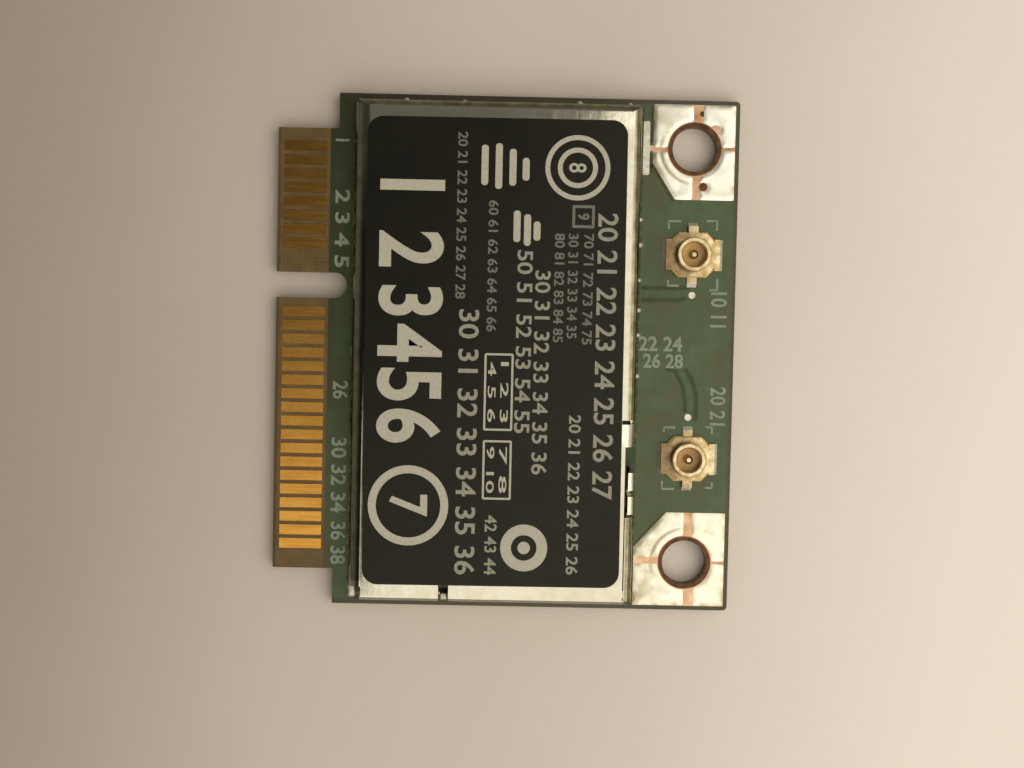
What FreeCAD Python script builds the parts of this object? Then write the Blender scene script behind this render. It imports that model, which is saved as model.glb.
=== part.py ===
import FreeCAD, Part
import os
import Sketcher

# Half-size wireless card for a laptop.
# Frame: +X from the contact edge to the screw edge, +Y along the contact row towards contact 1,
# +Z out of the component side. The origin is under the card's centre, on the face it lies on.

doc = FreeCAD.newDocument("WirelessCard")
sheet = doc.addObject("Spreadsheet::Sheet", "Sizes")
NODES = []

# Driving sizes, in millimetres unless the name says otherwise
SIZES = {
    # Circuit board
    "board_length": 26.8,
    "board_span": 29.8,
    "board_thickness": 1.0,
    "board_corner": 0.25,
    "mask_thickness": 0.03,
    "copper_thickness": 0.04,
    "tongue_length": 3.54,
    "tongue_inset": 2.05,
    "tongue_bevel": 0.18,
    "mask_setback": 3.07,
    # Edge contacts and the key slot between the two rows
    "contact_pitch": 0.8,
    "contact_width": 0.58,
    "contact_length": 2.45,
    "contact_setback": 0.4,
    "contact_margin": 1.05,
    "short_count": 8,
    "row_gap": 4.0,
    "key_offset": 1.7,
    "key_width": 1.5,
    "key_reach": 0.59,
    # Screw holes and the bare ground pads round them
    "hole_radius": 1.3,
    "hole_inset": 2.8,
    "hole_edge": 2.58,
    "hole_ring": 1.55,
    "pad_edge_gap": 0.24,
    "pad_reach": 2.42,
    "pad_drop": 2.95,
    "pad_cut_across": 1.3,
    "pad_cut_up": 2.1,
    "solder_thickness": 0.06,
    "solder_inset": 0.06,
    "wide_bar": 0.52,
    "narrow_bar": 0.22,
    "bar_offset": 0.15,
    "strip_length": 3.1,
    "strip_width": 0.36,
    "neck_width": 0.34,
    # Shield: a soldered frame and the lid that snaps over it
    "track_shoulder_gap": 0.83,
    "track_pad_gap": 0.58,
    "track_edge_gap": 0.3,
    "track_margin": 0.38,
    "track_inner": 0.35,
    "frame_sheet": 0.15,
    "frame_height": 1.45,
    "frame_bend": 0.26,
    "flange_width": 0.85,
    "bridge_width": 1.6,
    "foot_pitch": 2.4,
    "foot_gap": 1.1,
    "foot_lift": 0.18,
    "lid_clearance": 0.03,
    "lid_sheet": 0.15,
    "lid_height": 0.95,
    "lid_bend": 0.4,
    "corner_relief": 0.03,
    "slit_width": 0.3,
    "slit_reach": 0.75,
    "slit_pitch": 3.36,
    "slit_margin": 1.0,
    "window_width": 1.1,
    "window_reach": 0.36,
    "fillet_reach": 0.32,
    "fillet_height": 0.3,
    "fillet_length": 0.85,
    # Label on the lid
    "label_thickness": 0.08,
    "label_margin_x": 0.8,
    "label_margin_y": 0.97,
    "label_corner": 0.9,
    "label_turn_degrees": 0.2,
    # Antenna jacks
    "jack_drop": 6.15,
    "jack_base": 2.6,
    "jack_chamfer": 0.5,
    "jack_base_height": 0.3,
    "jack_flange": 0.12,
    "jack_flange_inset": 0.06,
    "jack_height": 1.25,
    "jack_ring_radius": 1.0,
    "jack_bore_radius": 0.7,
    "jack_lip_reach": 0.16,
    "jack_lip_low": 0.86,
    "jack_lead": 0.06,
    "jack_lug_width": 1.8,
    "jack_lug_reach": 0.26,
    "jack_tab_width": 0.56,
    "jack_tab_reach": 0.38,
    "jack_pin_radius": 0.25,
    "jack_pin_height": 1.05,
    "jack_tail_thickness": 0.12,
    "jack_floor": 0.16,
    "jack_solder_reach": 0.2,
    "jack_solder_height": 0.18,
    # Parts soldered to the board inside the shield
    "wall_gap": 0.4,
    "part_gap": 0.3,
    "radio_size": 8.0,
    "radio_height": 0.85,
    "radio_y": -3.4,
    "terminal_pitch": 0.65,
    "terminal_width": 0.3,
    "terminal_length": 0.45,
    "terminal_height": 0.05,
    "package_chamfer": 0.06,
    "crystal_length": 3.2,
    "crystal_width": 2.5,
    "crystal_height": 0.75,
    "inductor_size": 2.5,
    "inductor_height": 1.05,
    "memory_length": 3.0,
    "memory_width": 2.0,
    "memory_height": 0.6,
    "amplifier_size": 3.0,
    "amplifier_height": 0.75,
    "switch_size": 1.6,
    "switch_height": 0.55,
    "regulator_length": 2.9,
    "regulator_width": 1.6,
    "regulator_height": 0.9,
    "filter_length": 2.0,
    "filter_width": 1.25,
    "filter_height": 0.7,
    "chip_length": 1.0,
    "chip_width": 0.5,
    "capacitor_height": 0.5,
    "resistor_height": 0.35,
    "chip_pitch": 1.6,
    "end_cap": 0.22,
    # Test pads on the underside
    "test_pad_half": 0.45,
    "test_pad_chamfer": 0.26,
    "test_pad_pitch": 2.5,
    "test_row_start": 0.6,
    "test_row_drop": 4.1,
}
for row, (alias, amount) in enumerate(SIZES.items(), start=1):
    sheet.set(f"A{row}", alias)
    sheet.set(f"B{row}", str(amount))
    sheet.setAlias(f"B{row}", alias)
doc.recompute()


def val(alias):
    """The plain number of a driving size."""
    return float(sheet.get(alias))


# Places that several pieces share, as formulas of the driving sizes
LEFT = "(-Sizes.board_length / 2)"
RIGHT = "(Sizes.board_length / 2)"
TOP = "(Sizes.board_span / 2)"
BOTTOM = "(-Sizes.board_span / 2)"
SHOULDER = f"({LEFT} + Sizes.tongue_length)"
MASK_EDGE = f"({LEFT} + Sizes.mask_setback)"
TONGUE = f"({TOP} - Sizes.tongue_inset)"
FACE = "Sizes.board_thickness"
COPPER = "Sizes.copper_thickness"
CORE_TOP = "(Sizes.board_thickness - Sizes.copper_thickness)"
SHORT_FIRST = f"({TONGUE} - Sizes.contact_margin)"
SHORT_LAST = f"({SHORT_FIRST} - Sizes.contact_pitch * (Sizes.short_count - 1))"
LONG_FIRST = f"({SHORT_LAST} - Sizes.row_gap)"
LONG_COUNT = f"(floor(({LONG_FIRST} + {TONGUE} - Sizes.contact_margin) / Sizes.contact_pitch) + 1)"
KEY_TOP = f"({SHORT_LAST} - Sizes.key_offset)"
KEY_BOTTOM = f"({KEY_TOP} - Sizes.key_width)"
KEY_ROUND_X = f"({SHOULDER} + Sizes.key_reach - Sizes.key_width / 2)"
HOLE_X = f"({RIGHT} - Sizes.hole_edge)"
HOLE_Y = f"({TOP} - Sizes.hole_inset)"
PAD_LEFT = f"({HOLE_X} - Sizes.pad_reach)"
PAD_RIGHT = f"({RIGHT} - Sizes.pad_edge_gap)"
PAD_OUT = f"({TOP} - Sizes.pad_edge_gap)"
PAD_IN = f"({HOLE_Y} - Sizes.pad_drop)"
TRACK_RIGHT = f"({PAD_LEFT} - Sizes.track_pad_gap)"
TRACK_LEFT = f"({SHOULDER} + Sizes.track_shoulder_gap)"
TRACK_TOP = f"({TOP} - Sizes.track_edge_gap)"
FRAME_RIGHT = f"({TRACK_RIGHT} - Sizes.track_margin)"
FRAME_LEFT = f"({TRACK_LEFT} + Sizes.track_margin)"
FRAME_TOP = f"({TRACK_TOP} - Sizes.track_margin)"
LID_OUT = "(Sizes.lid_clearance + Sizes.lid_sheet)"
LID_RIGHT = f"({FRAME_RIGHT} + {LID_OUT})"
LID_LEFT = f"({FRAME_LEFT} - {LID_OUT})"
LID_TOP = f"({FRAME_TOP} + {LID_OUT})"
LID_FACE = f"({FACE} + Sizes.frame_height + Sizes.lid_sheet)"
MIDDLE_X = f"(({FRAME_LEFT} + {FRAME_RIGHT}) / 2)"
JACK_Y = f"({HOLE_Y} - Sizes.jack_drop)"
WALL_LEFT = f"({FRAME_LEFT} + Sizes.frame_sheet)"
WALL_RIGHT = f"({FRAME_RIGHT} - Sizes.frame_sheet)"
WALL_TOP = f"({FRAME_TOP} - Sizes.frame_sheet)"


def number(expression):
    """The present value of a formula of the driving sizes."""
    return float(sheet.evalExpression(expression))


def new_body(label):
    """Start one sub-part as a body; its label is the node's name."""
    body = doc.addObject("PartDesign::Body", label)
    body.Label = label
    body.AllowCompound = True
    NODES.append(body)
    return body


def new_sketch(body, name, height="0", plane="XY_Plane"):
    """A sketch on one of the body's origin planes, lifted to a height."""
    sketch = body.newObject("Sketcher::SketchObject", f"{body.Name}_{name}")
    origin_plane = [item for item in body.Origin.OriginFeatures if item.Role == plane][0]
    sketch.AttachmentSupport = [(origin_plane, "")]
    sketch.MapMode = "FlatFace"
    sketch.setExpression("AttachmentOffset.Base.z", height)
    return sketch


def bind(sketch, kind, edge, point, expression):
    """Hold one coordinate of a sketch point at a formula."""
    index = sketch.addConstraint(
        Sketcher.Constraint(kind, -1, 1, edge, point, number(expression)))
    sketch.setExpression(f"Constraints[{index}]", expression)


def polygon(sketch, corners):
    """A closed outline whose corners are pairs of formulas."""
    first = sketch.GeometryCount
    points = [FreeCAD.Vector(number(x), number(y), 0) for x, y in corners]
    count = len(points)
    for i in range(count):
        sketch.addGeometry(Part.LineSegment(points[i], points[(i + 1) % count]), False)
    for i in range(count):
        sketch.addConstraint(
            Sketcher.Constraint("Coincident", first + i, 2, first + (i + 1) % count, 1))
    for i, (x, y) in enumerate(corners):
        bind(sketch, "DistanceX", first + i, 1, x)
        bind(sketch, "DistanceY", first + i, 1, y)


def rectangle(sketch, x0, y0, x1, y1):
    """An upright rectangle between two corners."""
    polygon(sketch, [(x0, y0), (x1, y0), (x1, y1), (x0, y1)])


def octagon(sketch, x, y, half, chamfer):
    """A square with cut corners, round a centre."""
    inner = f"({half} - {chamfer})"
    turns = [(f"-{inner}", f"-{half}"), (inner, f"-{half}"), (half, f"-{inner}"), (half, inner),
             (inner, half), (f"-{inner}", half), (f"-{half}", inner), (f"-{half}", f"-{inner}")]
    polygon(sketch, [(f"{x} + {across}", f"{y} + {up}") for across, up in turns])


def circle(sketch, x, y, radius):
    """A circle at a place, with its radius bound."""
    centre = FreeCAD.Vector(number(x), number(y), 0)
    edge = sketch.addGeometry(
        Part.Circle(centre, FreeCAD.Vector(0, 0, 1), number(radius)), False)
    bind(sketch, "DistanceX", edge, 3, x)
    bind(sketch, "DistanceY", edge, 3, y)
    index = sketch.addConstraint(Sketcher.Constraint("Radius", edge, number(radius)))
    sketch.setExpression(f"Constraints[{index}]", radius)


def pad(body, sketch, name, length):
    """Add material upwards from a sketch."""
    feature = body.newObject("PartDesign::Pad", f"{body.Name}_{name}")
    feature.Profile = sketch
    feature.setExpression("Length", length)
    doc.recompute()
    return feature


def pocket(body, sketch, name):
    """Cut through the whole body along the sketch's normal, both ways."""
    before = body.Shape.Volume
    feature = body.newObject("PartDesign::Pocket", f"{body.Name}_{name}")
    feature.Profile = sketch
    feature.SideType = "Symmetric"
    feature.Type = "ThroughAll"
    doc.recompute()
    if not body.Shape.Volume < before:
        raise RuntimeError(f"{feature.Name} cut nothing")
    return feature


def edges_where(feature, test):
    """Names of the edges of a feature whose middle point and direction pass a test."""
    names = []
    for i, edge in enumerate(feature.Shape.Edges):
        middle = edge.valueAt((edge.FirstParameter + edge.LastParameter) / 2)
        along = edge.tangentAt((edge.FirstParameter + edge.LastParameter) / 2)
        if test(middle, along):
            names.append(f"Edge{i + 1}")
    return names


def upright(middle, along):
    """True for an edge that runs along Z."""
    return abs(along.z) > 0.999


def fillet(body, base, name, names, radius):
    """Round the named edges."""
    feature = body.newObject("PartDesign::Fillet", f"{body.Name}_{name}")
    feature.Base = (base, names)
    feature.setExpression("Radius", radius)
    doc.recompute()
    return feature


def pattern_down(body, feature, sketch, name, pitch, count):
    """Repeat a feature towards -Y."""
    row = body.newObject("PartDesign::LinearPattern", f"{body.Name}_{name}")
    row.Originals = [feature]
    row.Direction = (sketch, ["V_Axis"])
    row.Reversed = True
    row.Mode = "Spacing"
    row.setExpression("Offset", pitch)
    row.setExpression("Occurrences", count)
    body.Tip = row
    doc.recompute()
    return row


# Circuit board

def cut_key(body):
    """The slot with a round end that keys the card in its socket."""
    end = new_sketch(body, "key_circle")
    circle(end, KEY_ROUND_X, f"({KEY_TOP} + {KEY_BOTTOM}) / 2", "Sizes.key_width / 2")
    pocket(body, end, "key_round")
    slot = new_sketch(body, "key_straight")
    rectangle(slot, f"{LEFT} - 1", KEY_BOTTOM, KEY_ROUND_X, KEY_TOP)
    pocket(body, slot, "key_slot")


def shoulder_outline(start_x):
    """Corners of the board's outline, with the tongue starting at start_x."""
    return [(start_x, f"-{TONGUE}"), (SHOULDER, f"-{TONGUE}"), (SHOULDER, BOTTOM), (RIGHT, BOTTOM),
            (RIGHT, TOP), (SHOULDER, TOP), (SHOULDER, TONGUE), (start_x, TONGUE)]


def drill_holes(body):
    """Both screw holes."""
    sketch = new_sketch(body, "screw_holes")
    circle(sketch, HOLE_X, HOLE_Y, "Sizes.hole_radius")
    circle(sketch, HOLE_X, f"-{HOLE_Y}", "Sizes.hole_radius")
    pocket(body, sketch, "drilling")


def make_board():
    """Glass-fibre laminate: outline, key slot, screw holes and a bevelled contact edge."""
    body = new_body("circuit_board")
    outline = new_sketch(body, "outline", COPPER)
    polygon(outline, shoulder_outline(LEFT))
    plate = pad(body, outline, "plate", f"{CORE_TOP} - {COPPER}")
    right = number(RIGHT)
    corners = edges_where(plate, lambda m, a: upright(m, a) and abs(m.x - right) < 1e-6)
    fillet(body, plate, "corners", corners, "Sizes.board_corner")
    cut_key(body)
    drill_holes(body)
    left = number(LEFT)
    drilled = body.Tip
    rims = edges_where(drilled, lambda m, a: abs(a.y) > 0.999 and abs(m.x - left) < 1e-6)
    bevel = body.newObject("PartDesign::Chamfer", "circuit_board_bevel")
    bevel.Base = (drilled, rims)
    bevel.setExpression("Size", "Sizes.tongue_bevel")
    doc.recompute()


def pad_corners(sign):
    """Outline of a ground pad; the pad at -Y reaches over to the shield's track."""
    inner = f"{sign} * {PAD_IN}"
    outer = f"{sign} * {PAD_OUT}"
    cut_x = f"{PAD_LEFT} + Sizes.pad_cut_across"
    cut_y = f"{sign} * ({PAD_IN} + Sizes.pad_cut_up)"
    left = PAD_LEFT if sign == "1" else TRACK_RIGHT
    return [(left, outer), (left, cut_y), (cut_x, inner), (PAD_RIGHT, inner), (PAD_RIGHT, outer)]


NECK_TOP = f"({HOLE_Y} + Sizes.neck_width / 2)"
NECK_LOW = f"({HOLE_Y} - Sizes.neck_width / 2)"
STRIP_TOP = f"({HOLE_Y} + Sizes.strip_length / 2)"
STRIP_LOW = f"({HOLE_Y} - Sizes.strip_length / 2)"
STRIP_RIGHT = f"({TRACK_RIGHT} + Sizes.strip_width)"


def strip_outline(sketch):
    """The tinned strip beside the track, and its neck to the upper pad."""
    polygon(sketch, [(TRACK_RIGHT, STRIP_LOW), (STRIP_RIGHT, STRIP_LOW), (STRIP_RIGHT, NECK_LOW),
                     (PAD_LEFT, NECK_LOW), (PAD_LEFT, NECK_TOP), (STRIP_RIGHT, NECK_TOP),
                     (STRIP_RIGHT, STRIP_TOP), (TRACK_RIGHT, STRIP_TOP)])


def make_mask(label, height):
    """Solder mask on one face, open over the pads."""
    body = new_body(label)
    outline = new_sketch(body, "outline", height)
    polygon(outline, shoulder_outline(MASK_EDGE))
    coat = pad(body, outline, "coat", "Sizes.mask_thickness")
    right = number(RIGHT)
    corners = edges_where(coat, lambda m, a: upright(m, a) and abs(m.x - right) < 1e-6)
    fillet(body, coat, "corners", corners, "Sizes.board_corner")
    cut_key(body)
    openings = new_sketch(body, "pad_openings")
    polygon(openings, pad_corners("1"))
    polygon(openings, pad_corners("-1"))
    pocket(body, openings, "pad_windows")
    return body


def track_outline(sketch):
    """The ring of bare track that the shield frame is soldered to."""
    inner = "(Sizes.track_margin + Sizes.track_inner)"
    rectangle(sketch, TRACK_LEFT, f"-{TRACK_TOP}", TRACK_RIGHT, TRACK_TOP)
    rectangle(sketch, f"{TRACK_LEFT} + {inner}", f"-({TRACK_TOP} - {inner})",
              f"{TRACK_RIGHT} - {inner}", f"{TRACK_TOP} - {inner}")


def make_top_mask():
    """Mask of the component side: open over the pads, the strip and the shield's track."""
    body = make_mask("solder_mask_top", CORE_TOP)
    strip = new_sketch(body, "strip_opening")
    strip_outline(strip)
    pocket(body, strip, "strip_window")
    track = new_sketch(body, "track_opening")
    track_outline(track)
    pocket(body, track, "track_window")


def test_pad_places():
    """Centres of the test pads, as pairs of formulas: a row from each end of the shield."""
    row_y = f"({HOLE_Y} - Sizes.test_row_drop)"
    length = number(f"{FRAME_RIGHT} - {FRAME_LEFT} - 2 * Sizes.test_row_start")
    places = []
    for i in range(int(length // val("test_pad_pitch"))):
        step = f"(Sizes.test_row_start + {i} * Sizes.test_pad_pitch)"
        places.append((f"({FRAME_RIGHT} - {step})", row_y))
        places.append((f"({FRAME_LEFT} + {step})", f"-{row_y}"))
    return places


def make_bottom_mask():
    """Mask of the underside: open over the pads and the test pads."""
    body = make_mask("solder_mask_bottom", "Sizes.copper_thickness - Sizes.mask_thickness")
    dots = new_sketch(body, "test_openings")
    for x, y in test_pad_places():
        octagon(dots, x, y, "Sizes.test_pad_half", "Sizes.test_pad_chamfer")
    pocket(body, dots, "test_windows")


def make_test_pads():
    """Bare eight-sided pads on the underside, where the card is probed after assembly."""
    body = new_body("test_pads")
    dots = new_sketch(body, "octagons")
    for x, y in test_pad_places():
        octagon(dots, x, y, "Sizes.test_pad_half", "Sizes.test_pad_chamfer")
    pad(body, dots, "plating", COPPER)


# Edge contacts

def make_contacts(label, first_y, count, height):
    """One row of gold-plated edge contacts."""
    body = new_body(label)
    sketch = new_sketch(body, "contact", height)
    start = f"{LEFT} + Sizes.contact_setback"
    rectangle(sketch, start, f"{first_y} - Sizes.contact_width / 2",
              f"{start} + Sizes.contact_length", f"{first_y} + Sizes.contact_width / 2")
    strip = pad(body, sketch, "strip", COPPER)
    pattern_down(body, strip, sketch, "row", "Sizes.contact_pitch", count)


# Ground pads and their solder

def make_ground_pads(side, height):
    """The bare copper pads round the screw holes on one face."""
    for place, sign in (("upper", "1"), ("lower", "-1")):
        body = new_body(f"ground_pad_{place}_{side}")
        sketch = new_sketch(body, "outline", height)
        polygon(sketch, pad_corners(sign))
        pad(body, sketch, "copper", COPPER)
        if place == "upper" and side == "top":
            strip = new_sketch(body, "strip", height)
            strip_outline(strip)
            pad(body, strip, "strip_copper", COPPER)
        ring = new_sketch(body, "clear_ring")
        circle(ring, HOLE_X, f"{sign} * {HOLE_Y}", "Sizes.hole_ring")
        pocket(body, ring, "ring_cut")


def make_pad_solder(place, sign):
    """Solder printed on a ground pad in fields, with a cross of bare copper between them."""
    body = new_body(f"ground_pad_solder_{place}")
    hole_y = f"{sign} * {HOLE_Y}"
    inset = "Sizes.solder_inset"
    cut_y = f"{sign} * ({PAD_IN} + Sizes.pad_cut_up)"
    inner = f"{sign} * ({PAD_IN} + {inset})"
    outer = f"{sign} * ({PAD_OUT} - {inset})"
    left = f"({PAD_LEFT if sign == '1' else TRACK_RIGHT} + {inset})"
    sketch = new_sketch(body, "field", FACE)
    cut_x = f"({PAD_LEFT} + Sizes.pad_cut_across + {inset} / 2)"
    right = f"({PAD_RIGHT} - {inset})"
    polygon(sketch, [(left, outer), (left, cut_y), (cut_x, inner), (right, inner), (right, outer)])
    pad(body, sketch, "solder", "Sizes.solder_thickness")
    if sign == "1":
        strip = new_sketch(body, "strip", FACE)
        strip_left = f"({TRACK_RIGHT} + {inset})"
        strip_right = f"({STRIP_RIGHT} - {inset} / 2)"
        rectangle(strip, strip_left, STRIP_LOW, strip_right, NECK_LOW)
        rectangle(strip, strip_left, NECK_TOP, strip_right, STRIP_TOP)
        pad(body, strip, "strip_solder", "Sizes.solder_thickness")
    ring = new_sketch(body, "clear_ring")
    circle(ring, HOLE_X, hole_y, f"Sizes.hole_ring + {inset}")
    pocket(body, ring, "ring_cut")
    along = new_sketch(body, "bar_along_y")
    middle = f"{HOLE_X} + Sizes.bar_offset"
    rectangle(along, f"{middle} - Sizes.wide_bar / 2", f"{hole_y} - 2 * Sizes.pad_drop",
              f"{middle} + Sizes.wide_bar / 2", f"{hole_y} + 2 * Sizes.pad_drop")
    pocket(body, along, "bar_cut_y")
    across = new_sketch(body, "bar_along_x")
    rectangle(across, f"{TRACK_RIGHT} - 1", f"{hole_y} - Sizes.narrow_bar / 2",
              RIGHT, f"{hole_y} + Sizes.narrow_bar / 2")
    pocket(body, across, "bar_cut_x")


# Shield

def make_track():
    """Bare track on the board under the shield frame's walls."""
    body = new_body("shield_track")
    sketch = new_sketch(body, "ring", CORE_TOP)
    track_outline(sketch)
    pad(body, sketch, "copper", COPPER)


def folded_cover(body, x0, x1, half_y, low, height, bend, sheet_alias):
    """A shallow folded cover, open below: bends of even thickness, relieved at the four corners."""
    sketch = new_sketch(body, "outline", low)
    rectangle(sketch, x0, f"-{half_y}", x1, half_y)
    block = pad(body, sketch, "block", height)
    face_z = number(f"{low} + {height}")
    rim = edges_where(block, lambda m, a: abs(m.z - face_z) < 1e-6)
    bends = fillet(body, block, "bends", rim, bend)
    low_z = number(low)
    below = [i for i, face in enumerate(bends.Shape.Faces)
             if abs(face.CenterOfMass.z - low_z) < 1e-6]
    shell = body.newObject("PartDesign::Thickness", f"{body.Name}_shell")
    shell.Base = (bends, [f"Face{below[0] + 1}"])
    shell.Reversed = True
    shell.Join = 0
    shell.setExpression("Value", f"Sizes.{sheet_alias}")
    doc.recompute()
    reliefs = new_sketch(body, "reliefs", low)
    relief = f"({bend} + Sizes.corner_relief)"
    for edge, inward in ((x0, "1"), (x1, "-1")):
        for sign in ("1", "-1"):
            rectangle(reliefs, f"{edge} - {inward} * {bend}", f"{sign} * ({half_y} + {bend})",
                      f"{edge} + {inward} * {relief}", f"{sign} * ({half_y} - {relief})")
    pocket(body, reliefs, "relief_cut")


def make_frame():
    """Frame soldered round the circuit: walls on castellated feet, a flange and a bridge on top."""
    body = new_body("shield_frame")
    folded_cover(body, FRAME_LEFT, FRAME_RIGHT, FRAME_TOP, FACE, "Sizes.frame_height",
                 "Sizes.frame_bend", "frame_sheet")
    windows = new_sketch(body, "windows", FACE)
    x0 = f"{FRAME_LEFT} + Sizes.flange_width"
    x1 = f"{FRAME_RIGHT} - Sizes.flange_width"
    y1 = f"{FRAME_TOP} - Sizes.flange_width"
    half = "Sizes.bridge_width / 2"
    rectangle(windows, x0, half, x1, y1)
    rectangle(windows, x0, f"-({y1})", x1, f"-{half}")
    pocket(body, windows, "window_cut")
    foot_gaps(body, "XZ_Plane", FRAME_LEFT, FRAME_RIGHT)
    foot_gaps(body, "YZ_Plane", f"-{FRAME_TOP}", FRAME_TOP)


def gap_places(start, end):
    """Middles of the gaps between the frame's feet along one wall, as formulas."""
    span = number(f"{end} - {start} - 4 * Sizes.frame_bend")
    count = int(span // val("foot_pitch"))
    return [f"(({start} + {end}) / 2 + ({i} - {(count - 1) / 2}) * Sizes.foot_pitch)"
            for i in range(count)]


def foot_gaps(body, plane, start, end):
    """Low gaps between the feet, cut through both walls that face the same way."""
    sketch = new_sketch(body, f"feet_{plane[:2]}", "0", plane)
    for centre in gap_places(start, end):
        rectangle(sketch, f"{centre} - Sizes.foot_gap / 2", f"{FACE} - Sizes.foot_lift",
                  f"{centre} + Sizes.foot_gap / 2", f"{FACE} + Sizes.foot_lift")
    pocket(body, sketch, f"gaps_{plane[:2]}")


def make_lid():
    """Lid: a flat top with its skirt folded down and slit into spring fingers."""
    body = new_body("shield_lid")
    low = f"({LID_FACE} - Sizes.lid_height)"
    folded_cover(body, LID_LEFT, LID_RIGHT, LID_TOP, low, "Sizes.lid_height",
                 "Sizes.lid_bend", "lid_sheet")
    skirt_slits(body, "XZ_Plane", MIDDLE_X, f"({LID_RIGHT} - {LID_LEFT}) / 2", low)
    skirt_slits(body, "YZ_Plane", "0", LID_TOP, low)
    notches = new_sketch(body, "notches", low)
    slit_x = f"({MIDDLE_X} - Sizes.slit_pitch)"
    rectangle(notches, f"{slit_x} - Sizes.slit_width / 2", f"-({LID_TOP} + Sizes.lid_sheet)",
              f"{slit_x} + Sizes.slit_width / 2", f"-({LID_TOP} - Sizes.slit_reach)")
    for turn, width, reach in (("1", "Sizes.slit_width", "Sizes.slit_reach"),
                               ("2", "Sizes.window_width", "Sizes.window_reach")):
        middle = f"(-{turn} * Sizes.slit_pitch)"
        rectangle(notches, f"{LID_RIGHT} - {reach}", f"{middle} - {width} / 2",
                  f"{LID_RIGHT} + Sizes.lid_sheet", f"{middle} + {width} / 2")
    pocket(body, notches, "notch_cut")


def skirt_slits(body, plane, middle, half, low):
    """Slits in both skirts that face the same way, from the lower edge up to the bend."""
    sketch = new_sketch(body, f"slits_{plane[:2]}", "0", plane)
    count = int((number(half) - val("slit_margin")) // val("slit_pitch"))
    for i in range(-count, count + 1):
        centre = f"({middle} + {i} * Sizes.slit_pitch)"
        rectangle(sketch, f"{centre} - Sizes.slit_width / 2", f"{low} - Sizes.lid_sheet",
                  f"{centre} + Sizes.slit_width / 2", f"{LID_FACE} - Sizes.lid_bend")
    pocket(body, sketch, f"slit_cut_{plane[:2]}")


def wedge(x, y, z, out_x, out_y, reach, height, length):
    """A solder fillet: a triangular prism that leans on a wall and points away from it."""
    along = FreeCAD.Vector(-out_y, out_x, 0) * (length / 2)
    foot = FreeCAD.Vector(x, y, z)
    out = FreeCAD.Vector(out_x, out_y, 0) * reach
    up = FreeCAD.Vector(0, 0, height)
    start = foot - along
    triangle = Part.makePolygon([start, start + out, start + up, start])
    return Part.Face(triangle).extrude(along * 2)


def new_group(label, solids):
    """One node made of several separate solids."""
    item = doc.addObject("Part::Feature", label)
    item.Label = label
    item.Shape = Part.makeCompound(solids)
    NODES.append(item)
    return item


def make_shield_solder():
    """Solder fillets between the frame's feet and the track."""
    face = number(FACE)
    shape = (val("fillet_reach"), val("fillet_height"), val("fillet_length"))
    half_pitch = val("foot_pitch") / 2
    edge_x = {1: number(FRAME_RIGHT), -1: number(FRAME_LEFT)}
    edge_y = number(FRAME_TOP)
    solids = []
    for side in (1, -1):
        for gap in gap_places(f"-{FRAME_TOP}", FRAME_TOP)[1:]:
            solids.append(wedge(edge_x[side], number(gap) - half_pitch, face, side, 0, *shape))
        for gap in gap_places(FRAME_LEFT, FRAME_RIGHT)[1:]:
            solids.append(wedge(number(gap) - half_pitch, side * edge_y, face, 0, side, *shape))
    new_group("shield_solder", solids)


def make_label():
    """Printed label stuck on the lid."""
    body = new_body("shield_label")
    sketch = new_sketch(body, "outline")
    half_x = f"({LID_RIGHT} - {LID_LEFT}) / 2 - Sizes.label_margin_x"
    half_y = f"{LID_TOP} - Sizes.label_margin_y"
    rectangle(sketch, f"-({half_x})", f"-({half_y})", half_x, half_y)
    film = pad(body, sketch, "film", "Sizes.label_thickness")
    fillet(body, film, "corners", edges_where(film, upright), "Sizes.label_corner")
    body.setExpression("Placement.Base.x", MIDDLE_X)
    body.setExpression("Placement.Base.z", LID_FACE)
    body.Placement.Rotation = FreeCAD.Rotation(FreeCAD.Vector(0, 0, 1), val("label_turn_degrees"))
    doc.recompute()


# Antenna jacks

def make_jack(place, sign):
    """A coaxial jack in line with the screw holes: shell, base, centre contact and solder joints.

    It is drawn at the origin with its signal tail towards -Y, and the lower jack is turned round.
    """
    name = f"antenna_jack_{place}"
    pieces = [jack_base(f"{name}_base"), jack_shell(f"{name}_shell"), jack_contact(f"{name}_contact"),
              jack_solder(f"{name}_solder")]
    for piece in pieces:
        piece.Placement.Rotation = FreeCAD.Rotation(FreeCAD.Vector(0, 0, 1), 0 if sign > 0 else 180)
        piece.setExpression("Placement.Base.x", HOLE_X)
        piece.setExpression("Placement.Base.y", f"{sign} * {JACK_Y}")
        piece.setExpression("Placement.Base.z", FACE)


def jack_base(label):
    """Moulded base with a raised floor in the shell's bore and a channel for the signal tail."""
    body = new_body(label)
    base = new_sketch(body, "square")
    octagon(base, "0", "0", "(Sizes.jack_base / 2)", "Sizes.jack_chamfer")
    pad(body, base, "plate", "Sizes.jack_base_height")
    floor = new_sketch(body, "floor", "Sizes.jack_base_height")
    circle(floor, "0", "0", "Sizes.jack_bore_radius")
    pad(body, floor, "floor_pad", "Sizes.jack_floor")
    post = new_sketch(body, "post_hole")
    circle(post, "0", "0", "Sizes.jack_pin_radius")
    pocket(body, post, "post_cut")
    channel = new_sketch(body, "channel", "0", "XZ_Plane")
    rectangle(channel, "-Sizes.jack_tab_width / 2", "-0.1",
              "Sizes.jack_tab_width / 2", "Sizes.jack_tail_thickness")
    cut = body.newObject("PartDesign::Pocket", f"{label}_channel_cut")
    cut.Profile = channel
    cut.Reversed = True
    cut.setExpression("Length", "Sizes.jack_base")
    doc.recompute()
    return body


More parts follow.
